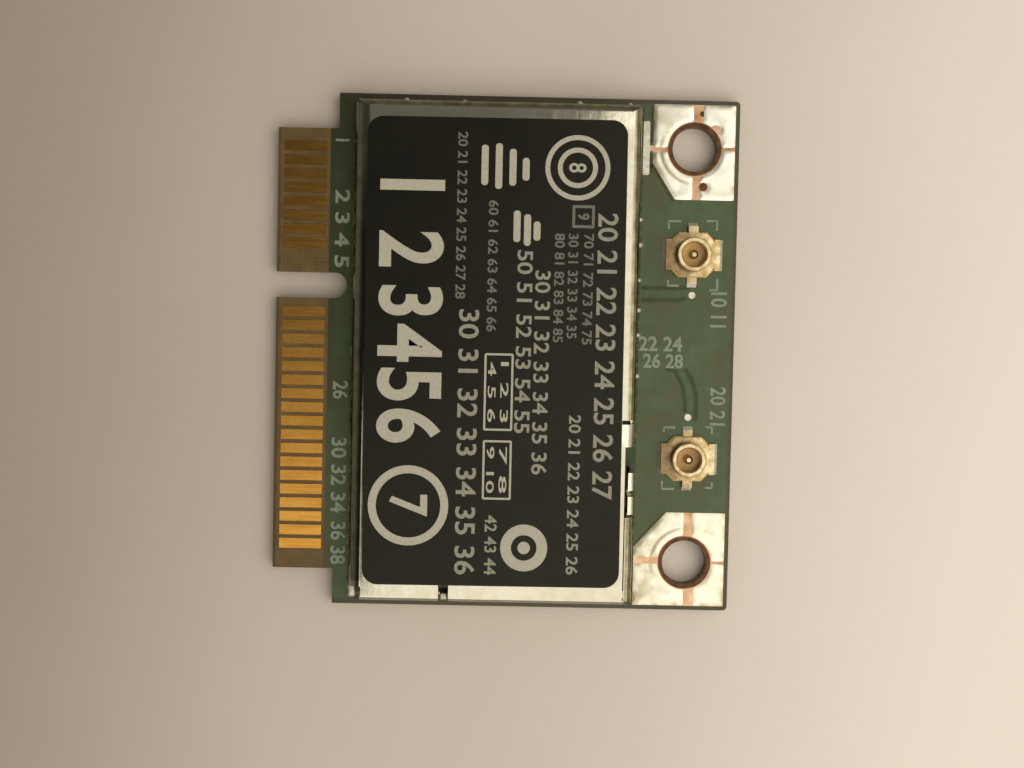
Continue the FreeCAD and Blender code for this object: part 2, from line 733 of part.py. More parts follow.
def jack_shell(label):
    """Stamped and drawn shell: a ring with a lip that holds the plug, on a flange with lugs."""
    body = new_body(label)
    flange = new_sketch(body, "flange", "Sizes.jack_base_height")
    octagon(flange, "0", "0", "(Sizes.jack_base / 2 - Sizes.jack_flange_inset)", "Sizes.jack_chamfer")
    pad(body, flange, "plate", "Sizes.jack_flange")
    lug_foot = "Sizes.jack_base / 2"
    lug_end = "(Sizes.jack_base / 2 + Sizes.jack_lug_reach)"
    tops = new_sketch(body, "lug_tops", "Sizes.jack_base_height")
    seat = "(Sizes.jack_base / 2 - Sizes.jack_flange_inset)"
    for side in ("1", "-1"):
        rectangle(tops, f"{side} * {seat}", "-Sizes.jack_lug_width / 2",
                  f"{side} * {lug_end}", "Sizes.jack_lug_width / 2")
    rectangle(tops, "-Sizes.jack_tab_width / 2", seat,
              "Sizes.jack_tab_width / 2", "Sizes.jack_base / 2 + Sizes.jack_tab_reach")
    pad(body, tops, "lug_plates", "Sizes.jack_flange")
    legs = new_sketch(body, "lug_legs")
    for side in ("1", "-1"):
        rectangle(legs, f"{side} * {lug_foot}", "-Sizes.jack_lug_width / 2",
                  f"{side} * {lug_end}", "Sizes.jack_lug_width / 2")
    rectangle(legs, "-Sizes.jack_tab_width / 2", lug_foot,
              "Sizes.jack_tab_width / 2", "Sizes.jack_base / 2 + Sizes.jack_tab_reach")
    pad(body, legs, "lug_walls", "Sizes.jack_base_height")
    ring = new_sketch(body, "ring_profile", "0", "XZ_Plane")
    bore = "Sizes.jack_bore_radius"
    out = "Sizes.jack_ring_radius"
    top = "Sizes.jack_height"
    lip = "Sizes.jack_lip_reach"
    lead = "Sizes.jack_lead"
    polygon(ring, [(bore, "Sizes.jack_base_height"), (f"{out} - {lip}", "Sizes.jack_base_height"),
                   (f"{out} - {lip}", f"Sizes.jack_lip_low - {lip}"), (out, "Sizes.jack_lip_low"),
                   (out, f"{top} - {lead}"), (f"{out} - {lead}", top), (f"{bore} + {lead}", top),
                   (bore, f"{top} - {lead}")])
    turned = body.newObject("PartDesign::Revolution", f"{label}_ring")
    turned.Profile = ring
    turned.ReferenceAxis = (ring, ["V_Axis"])
    turned.Angle = 360
    doc.recompute()
    well = new_sketch(body, "bore")
    circle(well, "0", "0", bore)
    pocket(body, well, "bore_cut")
    return body


def jack_contact(label):
    """Centre post and signal tail, one gold-plated piece."""
    body = new_body(label)
    post = new_sketch(body, "post_profile", "0", "XZ_Plane")
    radius = "Sizes.jack_pin_radius"
    top = "Sizes.jack_pin_height"
    polygon(post, [("0", "0"), (radius, "0"), (radius, f"{top} - {radius} / 2"),
                   (f"{radius} / 2", top), ("0", top)])
    turned = body.newObject("PartDesign::Revolution", f"{label}_post")
    turned.Profile = post
    turned.ReferenceAxis = (post, ["V_Axis"])
    turned.Angle = 360
    doc.recompute()
    tail = new_sketch(body, "tail")
    rectangle(tail, "-Sizes.jack_tab_width / 2", "-(Sizes.jack_base / 2 + Sizes.jack_tab_reach)",
              "Sizes.jack_tab_width / 2", "0")
    pad(body, tail, "tail_strip", "Sizes.jack_tail_thickness")
    return body


def jack_solder(label):
    """Solder fillets at the two side lugs, the rear tab and the signal tail."""
    reach = val("jack_solder_reach")
    height = val("jack_solder_height")
    side = val("jack_base") / 2 + val("jack_lug_reach")
    end = val("jack_base") / 2 + val("jack_tab_reach")
    lug = val("jack_lug_width")
    tab = val("jack_tab_width")
    tail = val("jack_tail_thickness")
    return new_group(label, [wedge(side, 0, 0, 1, 0, reach, height, lug),
                             wedge(-side, 0, 0, -1, 0, reach, height, lug),
                             wedge(0, end, 0, 0, 1, reach, height, tab),
                             wedge(0, -end, 0, 0, -1, reach, tail, tab)])


# Circuit inside the shield

RADIO_X = f"({WALL_LEFT} + Sizes.wall_gap + 2 * Sizes.part_gap + Sizes.chip_length + Sizes.radio_size / 2)"
RADIO_TOP = "(Sizes.radio_y + Sizes.radio_size / 2)"
RADIO_LOW = "(Sizes.radio_y - Sizes.radio_size / 2)"
CHIP_ROW = "(2 * Sizes.part_gap + Sizes.chip_length)"
ROW_ABOVE = f"({RADIO_TOP} + {CHIP_ROW} + Sizes.crystal_length / 2)"
ROW_BELOW = f"({RADIO_LOW} - {CHIP_ROW} - Sizes.memory_width / 2)"
ROW_TOP = f"({WALL_TOP} - Sizes.wall_gap - Sizes.regulator_length / 2)"


def from_left(size, before="0"):
    """Centre of a part at the shield's left wall, or after others of a summed length."""
    return f"({WALL_LEFT} + Sizes.wall_gap + {before} + {size} / 2)"


def from_right(size, before="0"):
    """Centre of a part at the shield's right wall, or before others of a summed length."""
    return f"({WALL_RIGHT} - Sizes.wall_gap - {before} - {size} / 2)"


def package(label, x, y, length, width, height, lift="0"):
    """A moulded package with bevelled top edges, on the board's face."""
    block = doc.addObject("Part::Box", f"{label}_block")
    block.setExpression("Length", length)
    block.setExpression("Width", width)
    block.setExpression("Height", f"{height} - {lift}")
    block.setExpression("Placement.Base.x", f"{x} - {length} / 2")
    block.setExpression("Placement.Base.y", f"{y} - {width} / 2")
    block.setExpression("Placement.Base.z", f"{FACE} + {lift}")
    doc.recompute()
    item = doc.addObject("Part::Chamfer", label)
    item.Label = label
    item.Base = block
    top = number(f"{FACE} + {height}")
    cut = val("package_chamfer")
    item.Edges = [(i + 1, cut, cut) for i, edge in enumerate(block.Shape.Edges)
                  if abs(edge.CenterOfMass.z - top) < 1e-6]
    doc.recompute()
    NODES.append(item)
    return item


def make_radio():
    """Main radio chip: a flat square package on rows of terminals and a thermal pad."""
    package("radio_chip", RADIO_X, "Sizes.radio_y", "Sizes.radio_size", "Sizes.radio_size",
            "Sizes.radio_height", "Sizes.terminal_height")
    half = val("radio_size") / 2
    pitch = val("terminal_pitch")
    count = int((2 * half - 2 * val("terminal_length")) // pitch)
    width = val("terminal_width")
    length = val("terminal_length")
    height = val("terminal_height")
    centre = FreeCAD.Vector(number(RADIO_X), val("radio_y"), number(FACE))
    thermal = half - 3 * length
    corner = centre - FreeCAD.Vector(thermal, thermal, 0)
    solids = [Part.makeBox(2 * thermal, 2 * thermal, height, corner)]
    for quarter in range(4):
        for i in range(count):
            along = (i - (count - 1) / 2) * pitch
            start = FreeCAD.Vector(half - length, along - width / 2, 0)
            lead = Part.makeBox(length, width, height, start)
            lead.rotate(FreeCAD.Vector(0, 0, 0), FreeCAD.Vector(0, 0, 1), 90 * quarter)
            lead.translate(centre)
            solids.append(lead)
    new_group("radio_chip_terminals", solids)


def make_packages():
    """The other parts of the circuit, each a moulded or ceramic block, in rows between the walls."""
    after_inductor = "(Sizes.inductor_size + Sizes.part_gap)"
    before_amplifier = "(Sizes.amplifier_size + Sizes.part_gap)"
    before_switch = "(Sizes.switch_size + Sizes.part_gap)"
    package("power_inductor", from_left("Sizes.inductor_size"), ROW_TOP, "Sizes.inductor_size",
            "Sizes.inductor_size", "Sizes.inductor_height")
    package("voltage_regulator", from_left("Sizes.regulator_width", after_inductor), ROW_TOP,
            "Sizes.regulator_width", "Sizes.regulator_length", "Sizes.regulator_height")
    package("antenna_switch", from_right("Sizes.switch_size"), ROW_TOP, "Sizes.switch_size",
            "Sizes.switch_size", "Sizes.switch_height")
    package("band_filter_2", from_right("Sizes.filter_width", before_switch), ROW_TOP,
            "Sizes.filter_width", "Sizes.filter_length", "Sizes.filter_height")
    package("reference_crystal", from_left("Sizes.crystal_width"), ROW_ABOVE, "Sizes.crystal_width",
            "Sizes.crystal_length", "Sizes.crystal_height")
    package("transmit_amplifier", from_right("Sizes.amplifier_size"), ROW_ABOVE,
            "Sizes.amplifier_size", "Sizes.amplifier_size", "Sizes.amplifier_height")
    package("band_filter_1", from_right("Sizes.filter_length", before_amplifier), ROW_ABOVE,
            "Sizes.filter_length", "Sizes.filter_width", "Sizes.filter_height")
    package("memory_chip", from_left("Sizes.memory_length"), ROW_BELOW, "Sizes.memory_length",
            "Sizes.memory_width", "Sizes.memory_height")
    package("receive_amplifier", from_right("Sizes.switch_size"), ROW_BELOW, "Sizes.switch_size",
            "Sizes.switch_size", "Sizes.switch_height")


def chip_row(centre, length):
    """Places of small parts, evenly spaced about a centre along a given length."""
    pitch = val("chip_pitch")
    count = int(length // pitch)
    return [centre + (i - (count - 1) / 2) * pitch for i in range(count)]


def chip_places():
    """Centres and turns of the small two-ended parts: rows round the radio chip and above it."""
    side = val("radio_size")
    offset = side / 2 + val("part_gap") + val("chip_length") / 2
    near = side / 2 + val("part_gap") + val("chip_width") / 2
    radio_x = number(RADIO_X)
    radio_y = val("radio_y")
    upper_y = number(f"{ROW_ABOVE} + Sizes.crystal_length / 2 + {CHIP_ROW} / 2")
    inner_length = number(f"{WALL_RIGHT} - {WALL_LEFT} - 2 * Sizes.wall_gap")
    capacitors = [(x, radio_y + offset, 90) for x in chip_row(radio_x, side)]
    capacitors += [(radio_x - offset, y, 0) for y in chip_row(radio_y, side)]
    resistors = [(x, radio_y - offset, 90) for x in chip_row(radio_x, side)]
    resistors += [(radio_x + near, y, 90) for y in chip_row(radio_y, side)]
    upper_row = chip_row(number(MIDDLE_X), inner_length)
    capacitors += [(x, upper_y, 90) for x in upper_row[::2]]
    resistors += [(x, upper_y, 90) for x in upper_row[1::2]]
    return capacitors, resistors


def chip_solids(places, height):
    """Ceramic bodies and metal ends of the small parts at the given places."""
    length = val("chip_length")
    width = val("chip_width")
    end = val("end_cap")
    face = number(FACE)
    bodies = []
    ends = []
    for x, y, turn in places:
        start = FreeCAD.Vector(end - length / 2, -width / 2, 0)
        core = Part.makeBox(length - 2 * end, width, height, start)
        caps = [Part.makeBox(end, width, height, FreeCAD.Vector(cap_x, -width / 2, 0))
                for cap_x in (-length / 2, length / 2 - end)]
        for solid in [core] + caps:
            solid.rotate(FreeCAD.Vector(0, 0, 0), FreeCAD.Vector(0, 0, 1), turn)
            solid.translate(FreeCAD.Vector(x, y, face))
        bodies.append(core)
        ends.extend(caps)
    return bodies, ends


def make_chips():
    """Decoupling capacitors, resistors and the tinned ends of both."""
    capacitors, resistors = chip_places()
    capacitor_bodies, capacitor_ends = chip_solids(capacitors, val("capacitor_height"))
    resistor_bodies, resistor_ends = chip_solids(resistors, val("resistor_height"))
    new_group("chip_capacitors", capacitor_bodies)
    new_group("chip_resistors", resistor_bodies)
    new_group("chip_end_caps", capacitor_ends + resistor_ends)


make_board()
make_top_mask()
make_bottom_mask()
make_contacts("contacts_short_top", SHORT_FIRST, "Sizes.short_count", CORE_TOP)
make_contacts("contacts_long_top", LONG_FIRST, LONG_COUNT, CORE_TOP)
make_contacts("contacts_short_bottom", SHORT_FIRST, "Sizes.short_count", "0")
make_contacts("contacts_long_bottom", LONG_FIRST, LONG_COUNT, "0")
make_ground_pads("top", CORE_TOP)
make_ground_pads("bottom", "0")
make_pad_solder("upper", "1")
make_pad_solder("lower", "-1")
make_test_pads()
make_track()
make_frame()
make_shield_solder()
make_lid()
make_label()
make_jack(1, 1)
make_jack(2, -1)
make_radio()
make_packages()
make_chips()
doc.recompute()

# Every object has to be sound before anything is written
for item in doc.Objects:
    if "Invalid" in item.State or "Error" in item.State:
        raise RuntimeError(f"{item.Name} failed: {item.State}")
for node in NODES:
    if node.Shape.isNull() or not node.Shape.isValid() or not node.Shape.Solids:
        raise RuntimeError(f"{node.Label} has no sound solid")

os.makedirs("parts", exist_ok=True)
for node in NODES:
    node.Shape.exportStep(f"parts/{node.Label}.step")
    print(node.Label, len(node.Shape.Solids), round(node.Shape.Volume, 4))
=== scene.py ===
# %% [markdown]
# # A wireless card for a laptop
# The real thing is a small green circuit board. Gold contacts along one edge plug into a
# slot, a sheet-metal can covers the radio, and two tiny coaxial jacks take the antennas.
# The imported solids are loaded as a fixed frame, in metres. Every solid that already has the
# right shape stays and only gets a finish. What needs more detail is built around the solids
# and takes its place from them, so nothing has to be fitted by eye.

# %% load the frame
import math

import bmesh
import bpy
import numpy as np
from mathutils import Matrix, Vector


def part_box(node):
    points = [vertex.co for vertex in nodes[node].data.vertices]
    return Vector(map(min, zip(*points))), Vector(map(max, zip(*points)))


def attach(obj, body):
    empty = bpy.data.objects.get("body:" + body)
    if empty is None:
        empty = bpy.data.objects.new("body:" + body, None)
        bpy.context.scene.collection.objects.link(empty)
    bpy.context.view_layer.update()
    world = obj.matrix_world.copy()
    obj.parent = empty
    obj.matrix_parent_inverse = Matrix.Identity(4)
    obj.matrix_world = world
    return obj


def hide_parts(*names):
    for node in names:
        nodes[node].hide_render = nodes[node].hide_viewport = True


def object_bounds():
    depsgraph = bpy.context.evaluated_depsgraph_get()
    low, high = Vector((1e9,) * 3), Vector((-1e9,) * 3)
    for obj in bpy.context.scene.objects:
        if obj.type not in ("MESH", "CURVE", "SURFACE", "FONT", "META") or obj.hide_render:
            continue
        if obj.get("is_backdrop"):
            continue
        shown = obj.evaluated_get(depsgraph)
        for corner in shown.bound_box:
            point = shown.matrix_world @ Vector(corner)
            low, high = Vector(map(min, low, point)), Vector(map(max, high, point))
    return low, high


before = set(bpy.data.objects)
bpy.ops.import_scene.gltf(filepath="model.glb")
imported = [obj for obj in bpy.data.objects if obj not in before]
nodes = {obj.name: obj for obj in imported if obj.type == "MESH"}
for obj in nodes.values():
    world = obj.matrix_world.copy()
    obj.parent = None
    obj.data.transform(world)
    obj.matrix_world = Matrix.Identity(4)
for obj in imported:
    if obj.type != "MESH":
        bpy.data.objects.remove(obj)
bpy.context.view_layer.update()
MM = 0.001


def box_mm(node):
    """The lowest and highest corner of a node, as plain numbers in millimetres."""
    low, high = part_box(node)
    return [c / MM for c in low], [c / MM for c in high]


# %% [markdown]
# ## Camera
# The card lies flat and is seen from almost straight above, from a hand's breadth away. A
# near camera shows a little of the sides of whatever stands up, so its distance matters as
# much as its angle: both were worked out from the card's corners and hole centres.

# %% camera
def add_camera(place, turn, lens):
    """A camera at a place in millimetres, turned by degrees about X, Y and Z."""
    data = bpy.data.cameras.new("camera")
    data.lens = lens
    data.sensor_width = 36.0
    data.clip_start = 0.005
    camera = bpy.data.objects.new("camera", data)
    camera.location = Vector(place) * MM
    camera.rotation_euler = [math.radians(angle) for angle in turn]
    bpy.context.scene.collection.objects.link(camera)
    bpy.context.scene.camera = camera
    return camera


camera = add_camera((-0.36, 1.94, 88.68), (-2.45, -0.49, 1.23), 52.73)
print("camera height", round(camera.location.z / MM, 1), "mm")

# %% [markdown]
# ## Light
# Bright metal shows the room more than its own colour. One wide softbox hangs over the right
# side. Its near edge, as a mirror on the card shows it, runs from the lower left corner to
# the upper right, so the can's rim and the contacts shine on one side of that line and are
# dull on the other. The room is pale near the horizon, paler on the lamp's side, and dim
# overhead, like a ceiling behind whoever holds the camera, with a faint glow beyond the
# card's far edge that warms the rim there.

# %% light
SOFTBOX_HEIGHT = 400.0
SOFTBOX_SIDES = (640.0, 640.0)
SOFTBOX_EDGE = (-3.5, -6.0)
SOFTBOX_AWAY = (0.889, -0.458)
SOFTBOX_RADIANCE = 1.95
WARM_WHITE = (1.0, 0.965, 0.90)


def add_softbox(name, edge, sides, away):
    """A flat lamp that faces down and reaches away from the middle of its near edge."""
    wide, long = [side * MM for side in sides]
    lamp = bpy.data.lights.new(name, "AREA")
    lamp.shape = "RECTANGLE"
    lamp.size, lamp.size_y = wide, long
    lamp.energy = SOFTBOX_RADIANCE * math.pi * wide * long
    lamp.color = WARM_WHITE
    softbox = bpy.data.objects.new(name, lamp)
    away = Vector((*away, 0.0)).normalized() * long / 2
    softbox.location = Vector((*edge, SOFTBOX_HEIGHT)) * MM + away
    softbox.rotation_euler = (0.0, 0.0, math.atan2(-away.x, away.y))
    bpy.context.scene.collection.objects.link(softbox)
    return softbox


def fade_node(tree, value, ends, strengths):
    """A smooth change from one strength to another while the value goes from end to end."""
    fade = tree.nodes.new("ShaderNodeMapRange")
    fade.interpolation_type = "SMOOTHSTEP"
    for name, number in zip(("From Min", "From Max", "To Min", "To Max"), (*ends, *strengths)):
        if isinstance(number, bpy.types.NodeSocket):
            tree.links.new(number, fade.inputs[name])
        else:
            fade.inputs[name].default_value = number
    tree.links.new(value, fade.inputs["Value"])
    return fade.outputs["Result"]


def add_room(far_wall, near_wall, ceiling, colour):
    """A world whose walls brighten towards the lamp's side and fade into the ceiling."""
    world = bpy.data.worlds.new("room")
    bpy.context.scene.world = world
    world.use_nodes = True
    tree = world.node_tree
    background = tree.nodes["Background"]
    background.inputs["Color"].default_value = (*colour, 1.0)
    direction = tree.nodes.new("ShaderNodeTexCoord")
    parts = tree.nodes.new("ShaderNodeSeparateXYZ")
    toward = tree.nodes.new("ShaderNodeVectorMath")
    toward.operation = "DOT_PRODUCT"
    toward.inputs[1].default_value = (*SOFTBOX_AWAY, 0.0)
    for node in (parts, toward):
        tree.links.new(direction.outputs["Generated"], node.inputs[0])
    walls = fade_node(tree, toward.outputs["Value"], (-0.8, 0.8), (far_wall, near_wall))
    overhead = fade_node(tree, parts.outputs["Y"], (0.05, 0.16), ceiling)
    strength = fade_node(tree, parts.outputs["Z"], (0.3, 0.95), (walls, overhead))
    tree.links.new(strength, background.inputs["Strength"])
    return world


softbox = add_softbox("softbox", SOFTBOX_EDGE, SOFTBOX_SIDES, SOFTBOX_AWAY)
side_box = add_softbox("side_box", (-80.0, -30.0), (52.0, 130.0), (0.0, -1.0))
add_room(far_wall=0.3, near_wall=0.7, ceiling=(0.03, 0.21), colour=(1.0, 0.97, 0.92))
bpy.context.scene.view_settings.view_transform = "Standard"
for lamp in (softbox, side_box):
    print(lamp.name, round(lamp.data.energy, 3), "W")

# %% [markdown]
# ## A way to write finishes
# Each finish is one Principled shader with patterns on Object coordinates. A small class
# keeps the node work short: it adds a noise of a given size in millimetres, a colour ramp, a
# mix, or a bump of a given depth. Values that are the same everywhere go on the shader's own
# sockets.

# %% finish helper
class Finish:
    """A material around one Principled shader, patterned in millimetres."""

    def __init__(self, name, colour, roughness, metallic=0.0, **sockets):
        self.material = bpy.data.materials.new(name)
        self.material.use_nodes = True
        self.tree = self.material.node_tree
        self.shader = self.tree.nodes["Principled BSDF"]
        self.place = self.tree.nodes.new("ShaderNodeTexCoord").outputs["Object"]
        self.relief = None
        self.set("Base Color", (*colour, 1.0))
        self.set("Roughness", roughness)
        self.set("Metallic", metallic)
        for socket, value in sockets.items():
            self.set(socket.replace("_", " "), value)

    def set(self, socket, value):
        """A plain value for one of the shader's sockets, or a link where value is an output."""
        if isinstance(value, bpy.types.NodeSocket):
            self.tree.links.new(value, self.shader.inputs[socket])
        else:
            self.shader.inputs[socket].default_value = value

    def node(self, kind, links=(), values=(), **settings):
        """A node of that kind, with its settings, values and incoming links."""
        made = self.tree.nodes.new("ShaderNode" + kind)
        for setting, value in settings.items():
            setattr(made, setting, value)
        for socket, value in dict(values).items():
            made.inputs[socket].default_value = value
        for socket, output in dict(links).items():
            self.tree.links.new(output, made.inputs[socket])
        return made

    def mapped(self, stretch=(1.0, 1.0, 1.0)):
        """Object coordinates in millimetres, stretched along the axes."""
        scale = [value / MM for value in stretch]
        return self.node("Mapping", {"Vector": self.place}, {"Scale": scale}).outputs["Vector"]

    def noise(self, size, detail=3.0, rough=0.5, stretch=(1.0, 1.0, 1.0)):
        """Soft noise whose blobs are about size millimetres across."""
        made = self.node("TexNoise", {"Vector": self.mapped(stretch)},
                         {"Scale": 1.0 / size, "Detail": detail, "Roughness": rough})
        return made.outputs["Fac"]

    def bands(self, way, scale, **values):
        """Even bands across one axis."""
        values = {name.replace("_", " "): value for name, value in values.items()}
        made = self.node("TexWave", {"Vector": self.mapped()}, {"Scale": scale, **values},
                         bands_direction=way)
        return made.outputs["Fac"]

    def ramp(self, value, stops):
        """Grey or colour for a value, from (position, colour) stops."""
        made = self.node("ValToRGB", {"Fac": value})
        steps = made.color_ramp
        steps.interpolation = "EASE"
        while len(steps.elements) < len(stops):
            steps.elements.new(1.0)
        for element, (position, colour) in zip(steps.elements, stops):
            element.position = position
            grey = isinstance(colour, float)
            element.color = (colour, colour, colour, 1.0) if grey else (*colour, 1.0)
        return made.outputs["Color"]

    def mix(self, share, first, second, blend="MIX"):
        """Two colours mixed by a share; each may be a colour or an output."""
        made = self.node("Mix", data_type="RGBA", blend_type=blend)
        for index, value in ((0, share), (6, first), (7, second)):
            if isinstance(value, bpy.types.NodeSocket):
                self.tree.links.new(value, made.inputs[index])
            else:
                made.inputs[index].default_value = value if index == 0 else (*value, 1.0)
        return made.outputs[2]

    def sums(self, operation, first, second=None, clamp=False):
        """A Math node on outputs or numbers."""
        made = self.node("Math", operation=operation, use_clamp=clamp)
        for index, value in enumerate((first, second)):
            if isinstance(value, bpy.types.NodeSocket):
                self.tree.links.new(value, made.inputs[index])
            elif value is not None:
                made.inputs[index].default_value = value
        return made.outputs[0]

    def less(self, first, second):
        """The first less the second."""
        return self.sums("SUBTRACT", first, second)

    def plus(self, first, second):
        """Both added."""
        return self.sums("ADD", first, second)

    def times(self, first, second):
        """Both multiplied."""
        return self.sums("MULTIPLY", first, second)

    def share(self, value, slope=1.0):
        """A value times a slope, kept between 0 and 1."""
        return self.sums("MULTIPLY", value, slope, clamp=True)

    def axis(self, letter):
        """One coordinate, in millimetres."""
        return self.node("SeparateXYZ", {"Vector": self.mapped()}).outputs[letter]

    def emboss(self, height, depth):
        """Adds a bump of that depth, in millimetres, over any that is there already."""
        links = {"Height": height}
        if self.relief is not None:
            links["Normal"] = self.relief
        made = self.node("Bump", links, {"Strength": 1.0, "Distance": depth * MM})
        self.relief = made.outputs["Normal"]
        self.set("Normal", self.relief)


def clouded(name, colour, roughness, metallic, noise, colours, glosses, depth):
    """A surface whose colour, gloss and relief all follow one noise."""
    made = Finish(name, colour, roughness, metallic)
    cloud = made.noise(*noise)
    made.set("Base Color", made.ramp(cloud, colours))
    if glosses:
        made.set("Roughness", made.ramp(cloud, glosses))
    made.emboss(cloud, depth)
    return made


finishes = {}
print("finish helpers ready")

# %% [markdown]
# ## Metals
# Gold contacts wear where the slot's springs rub along them, so their streaks run along X.
# Reflowed solder is a mirror with a soft, rippled skin, and flux leaves it brown at the rims.
# The can is tinned sheet, which shows its rolling marks, is stained round its right and top folds
# and carries painted shade on its left fold. A metal has no colour but its reflection, so the
# variation goes into the base colour and above all the roughness. A stain or a patch of painted
# shade or light that belongs to one place is a share from 0 to 1, worked out from the coordinates,
# that mixes a second colour in.

# %% metal finishes
lid_low, lid_high = box_mm("shield_lid")
LID_LEFT, LID_RIGHT, LID_END, LID_TOP = -lid_low[0], *lid_high
LEFT_BEND, RIGHT_BEND, TOP_BEND, BOTTOM_BEND = 0.72, 0.50, 0.40, 0.22
HOLE = (10.82, 12.10)
HOLE_GROOVE = 2.0
PAD_RIM = (12.83, 14.33)
PAD_NEAR = 9.0
JACK_FLANGE = 1.45


def gold_finish():
    """Hard gold on the edge contacts, with painted shade darkening it towards the short row."""
    gold = Finish("hard_gold", (0.55, 0.28, 0.055), 0.24, 1.0)
    rub = gold.noise(0.16, 3.0, 0.5, stretch=(0.10, 1.0, 1.0))
    blotch = gold.ramp(gold.noise(1.6, 3.0), [(0.35, 0.0), (0.75, 0.5)])
    worn = gold.ramp(rub, [(0.35, (0.53, 0.262, 0.045)), (0.68, (0.46, 0.215, 0.036))])
    colour = gold.mix(blotch, worn, (0.64, 0.36, 0.09))
    # painted shade: the contacts are darkened towards the short row, along +Y
    painted_shade_share = gold.share(gold.plus(gold.axis("Y"), 8.0), 0.05)
    gold.set("Base Color", gold.mix(painted_shade_share, colour, (0.29, 0.155, 0.032)))
    gold.set("Roughness", gold.ramp(rub, [(0.3, 0.24), (0.75, 0.29)]))
    gold.emboss(rub, 0.00012)
    return gold


def round_hole(metal, across, along):
    """The share of painted shade in the groove round a screw hole, on the side of the pad's cut
    corner.
    """
    dx, dy = metal.less(across, HOLE[0]), metal.less(along, HOLE[1])
    radius = metal.sums("SQRT", metal.plus(metal.times(dx, dx), metal.times(dy, dy)))
    off_ring = metal.sums("ABSOLUTE", metal.less(radius, HOLE_GROOVE))
    ring = metal.sums("SUBTRACT", 1.0, metal.times(off_ring, 6.5), clamp=True)
    toward_cut = metal.plus(metal.times(dx, -1.15), metal.times(dy, -0.80))
    return metal.times(ring, metal.sums("SUBTRACT", toward_cut, 1.4, clamp=True))


def solder_finish():
    """Bright reflowed solder, stained at the pads' rims and near the can, with painted shade in the
    groove and painted light on the upper pad.
    """
    solder = Finish("bright_solder", (0.66, 0.62, 0.48), 0.22, 1.0)
    colour = solder.ramp(solder.noise(1.4, 3.0), [
        (0.3, (0.70, 0.675, 0.54)), (0.55, (0.65, 0.615, 0.47)), (0.75, (0.46, 0.395, 0.255))])
    across, up = solder.axis("X"), solder.axis("Y")
    # painted light: the upper pad's solder is lightened, as it catches more of the lamp
    upper = solder.times(solder.sums("GREATER_THAN", up, PAD_NEAR), 0.5)
    colour = solder.mix(upper, colour, (0.78, 0.78, 0.68))
    along = solder.sums("ABSOLUTE", up)
    past_rim = [solder.less(place, rim) for place, rim in zip((across, along), PAD_RIM)]
    rim = solder.share(solder.sums("MAXIMUM", *past_rim), 3.5)
    by_can = solder.times(solder.share(solder.less(10.2, across), 0.5),
                          solder.sums("GREATER_THAN", along, PAD_NEAR + 0.5))
    patches = solder.ramp(solder.noise(0.8, 2.0), [(0.38, 0.15), (0.66, 0.75)])
    flux = solder.times(solder.sums("MAXIMUM", rim, by_can), patches)
    colour = solder.mix(flux, colour, (0.30, 0.24, 0.12))
    # painted shade: the groove round the hole is darkened where shade falls in it
    groove = solder.times(round_hole(solder, across, along), 0.75)
    solder.set("Base Color", solder.mix(groove, colour, (0.24, 0.19, 0.09)))
    skin = solder.noise(0.5, 3.0, 0.5)
    solder.set("Roughness", solder.ramp(skin, [(0.3, 0.28), (0.75, 0.42)]))
    solder.emboss(skin, 0.004)
    return solder


def can_finish():
    """Tinned sheet with rolling marks, clean along the top, stained round the right and top folds,
    with painted shade on the left fold.
    """
    can = Finish("tinned_sheet", (0.50, 0.47, 0.37), 0.1, 1.0)
    rolled = can.noise(0.12, 3.0, 0.5, stretch=(1.0, 0.06, 1.0))
    stain = can.noise(1.3, 4.0, 0.6)
    cloud = can.noise(0.8, 4.0, 0.6)
    colour = can.ramp(stain, [
        (0.35, (0.44, 0.416, 0.33)), (0.6, (0.40, 0.371, 0.273)), (0.8, (0.25, 0.205, 0.115))])
    across, along = can.axis("X"), can.axis("Y")
    clean = can.times(can.share(can.less(along, 12.9), 3.0), 0.8)
    colour = can.mix(clean, colour, (0.60, 0.56, 0.43))
    past_right = can.less(across, LID_RIGHT - RIGHT_BEND)
    past_top = can.less(along, LID_END - TOP_BEND)
    past_left = can.less(can.times(across, -1.0), LID_LEFT - LEFT_BEND - 0.20)
    brown = can.ramp(cloud, [(0.3, (0.27, 0.245, 0.15)), (0.7, (0.13, 0.115, 0.055))])
    # painted shade: the left fold, turned away from the lamp, is painted dark grey
    painted_shade_grey = can.ramp(cloud, [(0.3, (0.22, 0.22, 0.15)), (0.7, (0.145, 0.145, 0.09))])
    for past, tint in ((can.sums("MAXIMUM", past_right, past_top), brown),
                       (can.sums("MINIMUM", past_left, can.less(along, -13.35)), painted_shade_grey)):
        colour = can.mix(can.share(can.plus(past, 0.02), 7.0), colour, tint)
    can.set("Base Color", colour)
    can.set("Roughness", can.ramp(rolled, [(0.3, 0.07), (0.75, 0.13)]))
    can.emboss(rolled, 0.0003)
    can.emboss(stain, 0.004)
    return can


def jack_gold_finish():
    """Soft gold over brass on the antenna jacks, with painted shade on the flange's side by the
    can.
    """
    gold = Finish("jack_gold", (0.50, 0.38, 0.20), 0.28, 1.0)
    cloud = gold.noise(0.45, 4.0, 0.55)
    colour = gold.ramp(cloud, [(0.3, (0.57, 0.47, 0.29)), (0.7, (0.42, 0.29, 0.12))])
    # painted shade: the low flange on the side towards the can, away from the lamp, is darkened
    by_can = gold.share(gold.less(HOLE[0] + 0.9, gold.axis("X")), 0.5)
    low = gold.sums("LESS_THAN", gold.axis("Z"), JACK_FLANGE)
    gold.set("Base Color", gold.mix(gold.times(by_can, low), colour, (0.19, 0.13, 0.065)))
    gold.set("Roughness", gold.ramp(cloud, [(0.3, 0.22), (0.75, 0.42)]))
    gold.emboss(cloud, 0.005)
    return gold


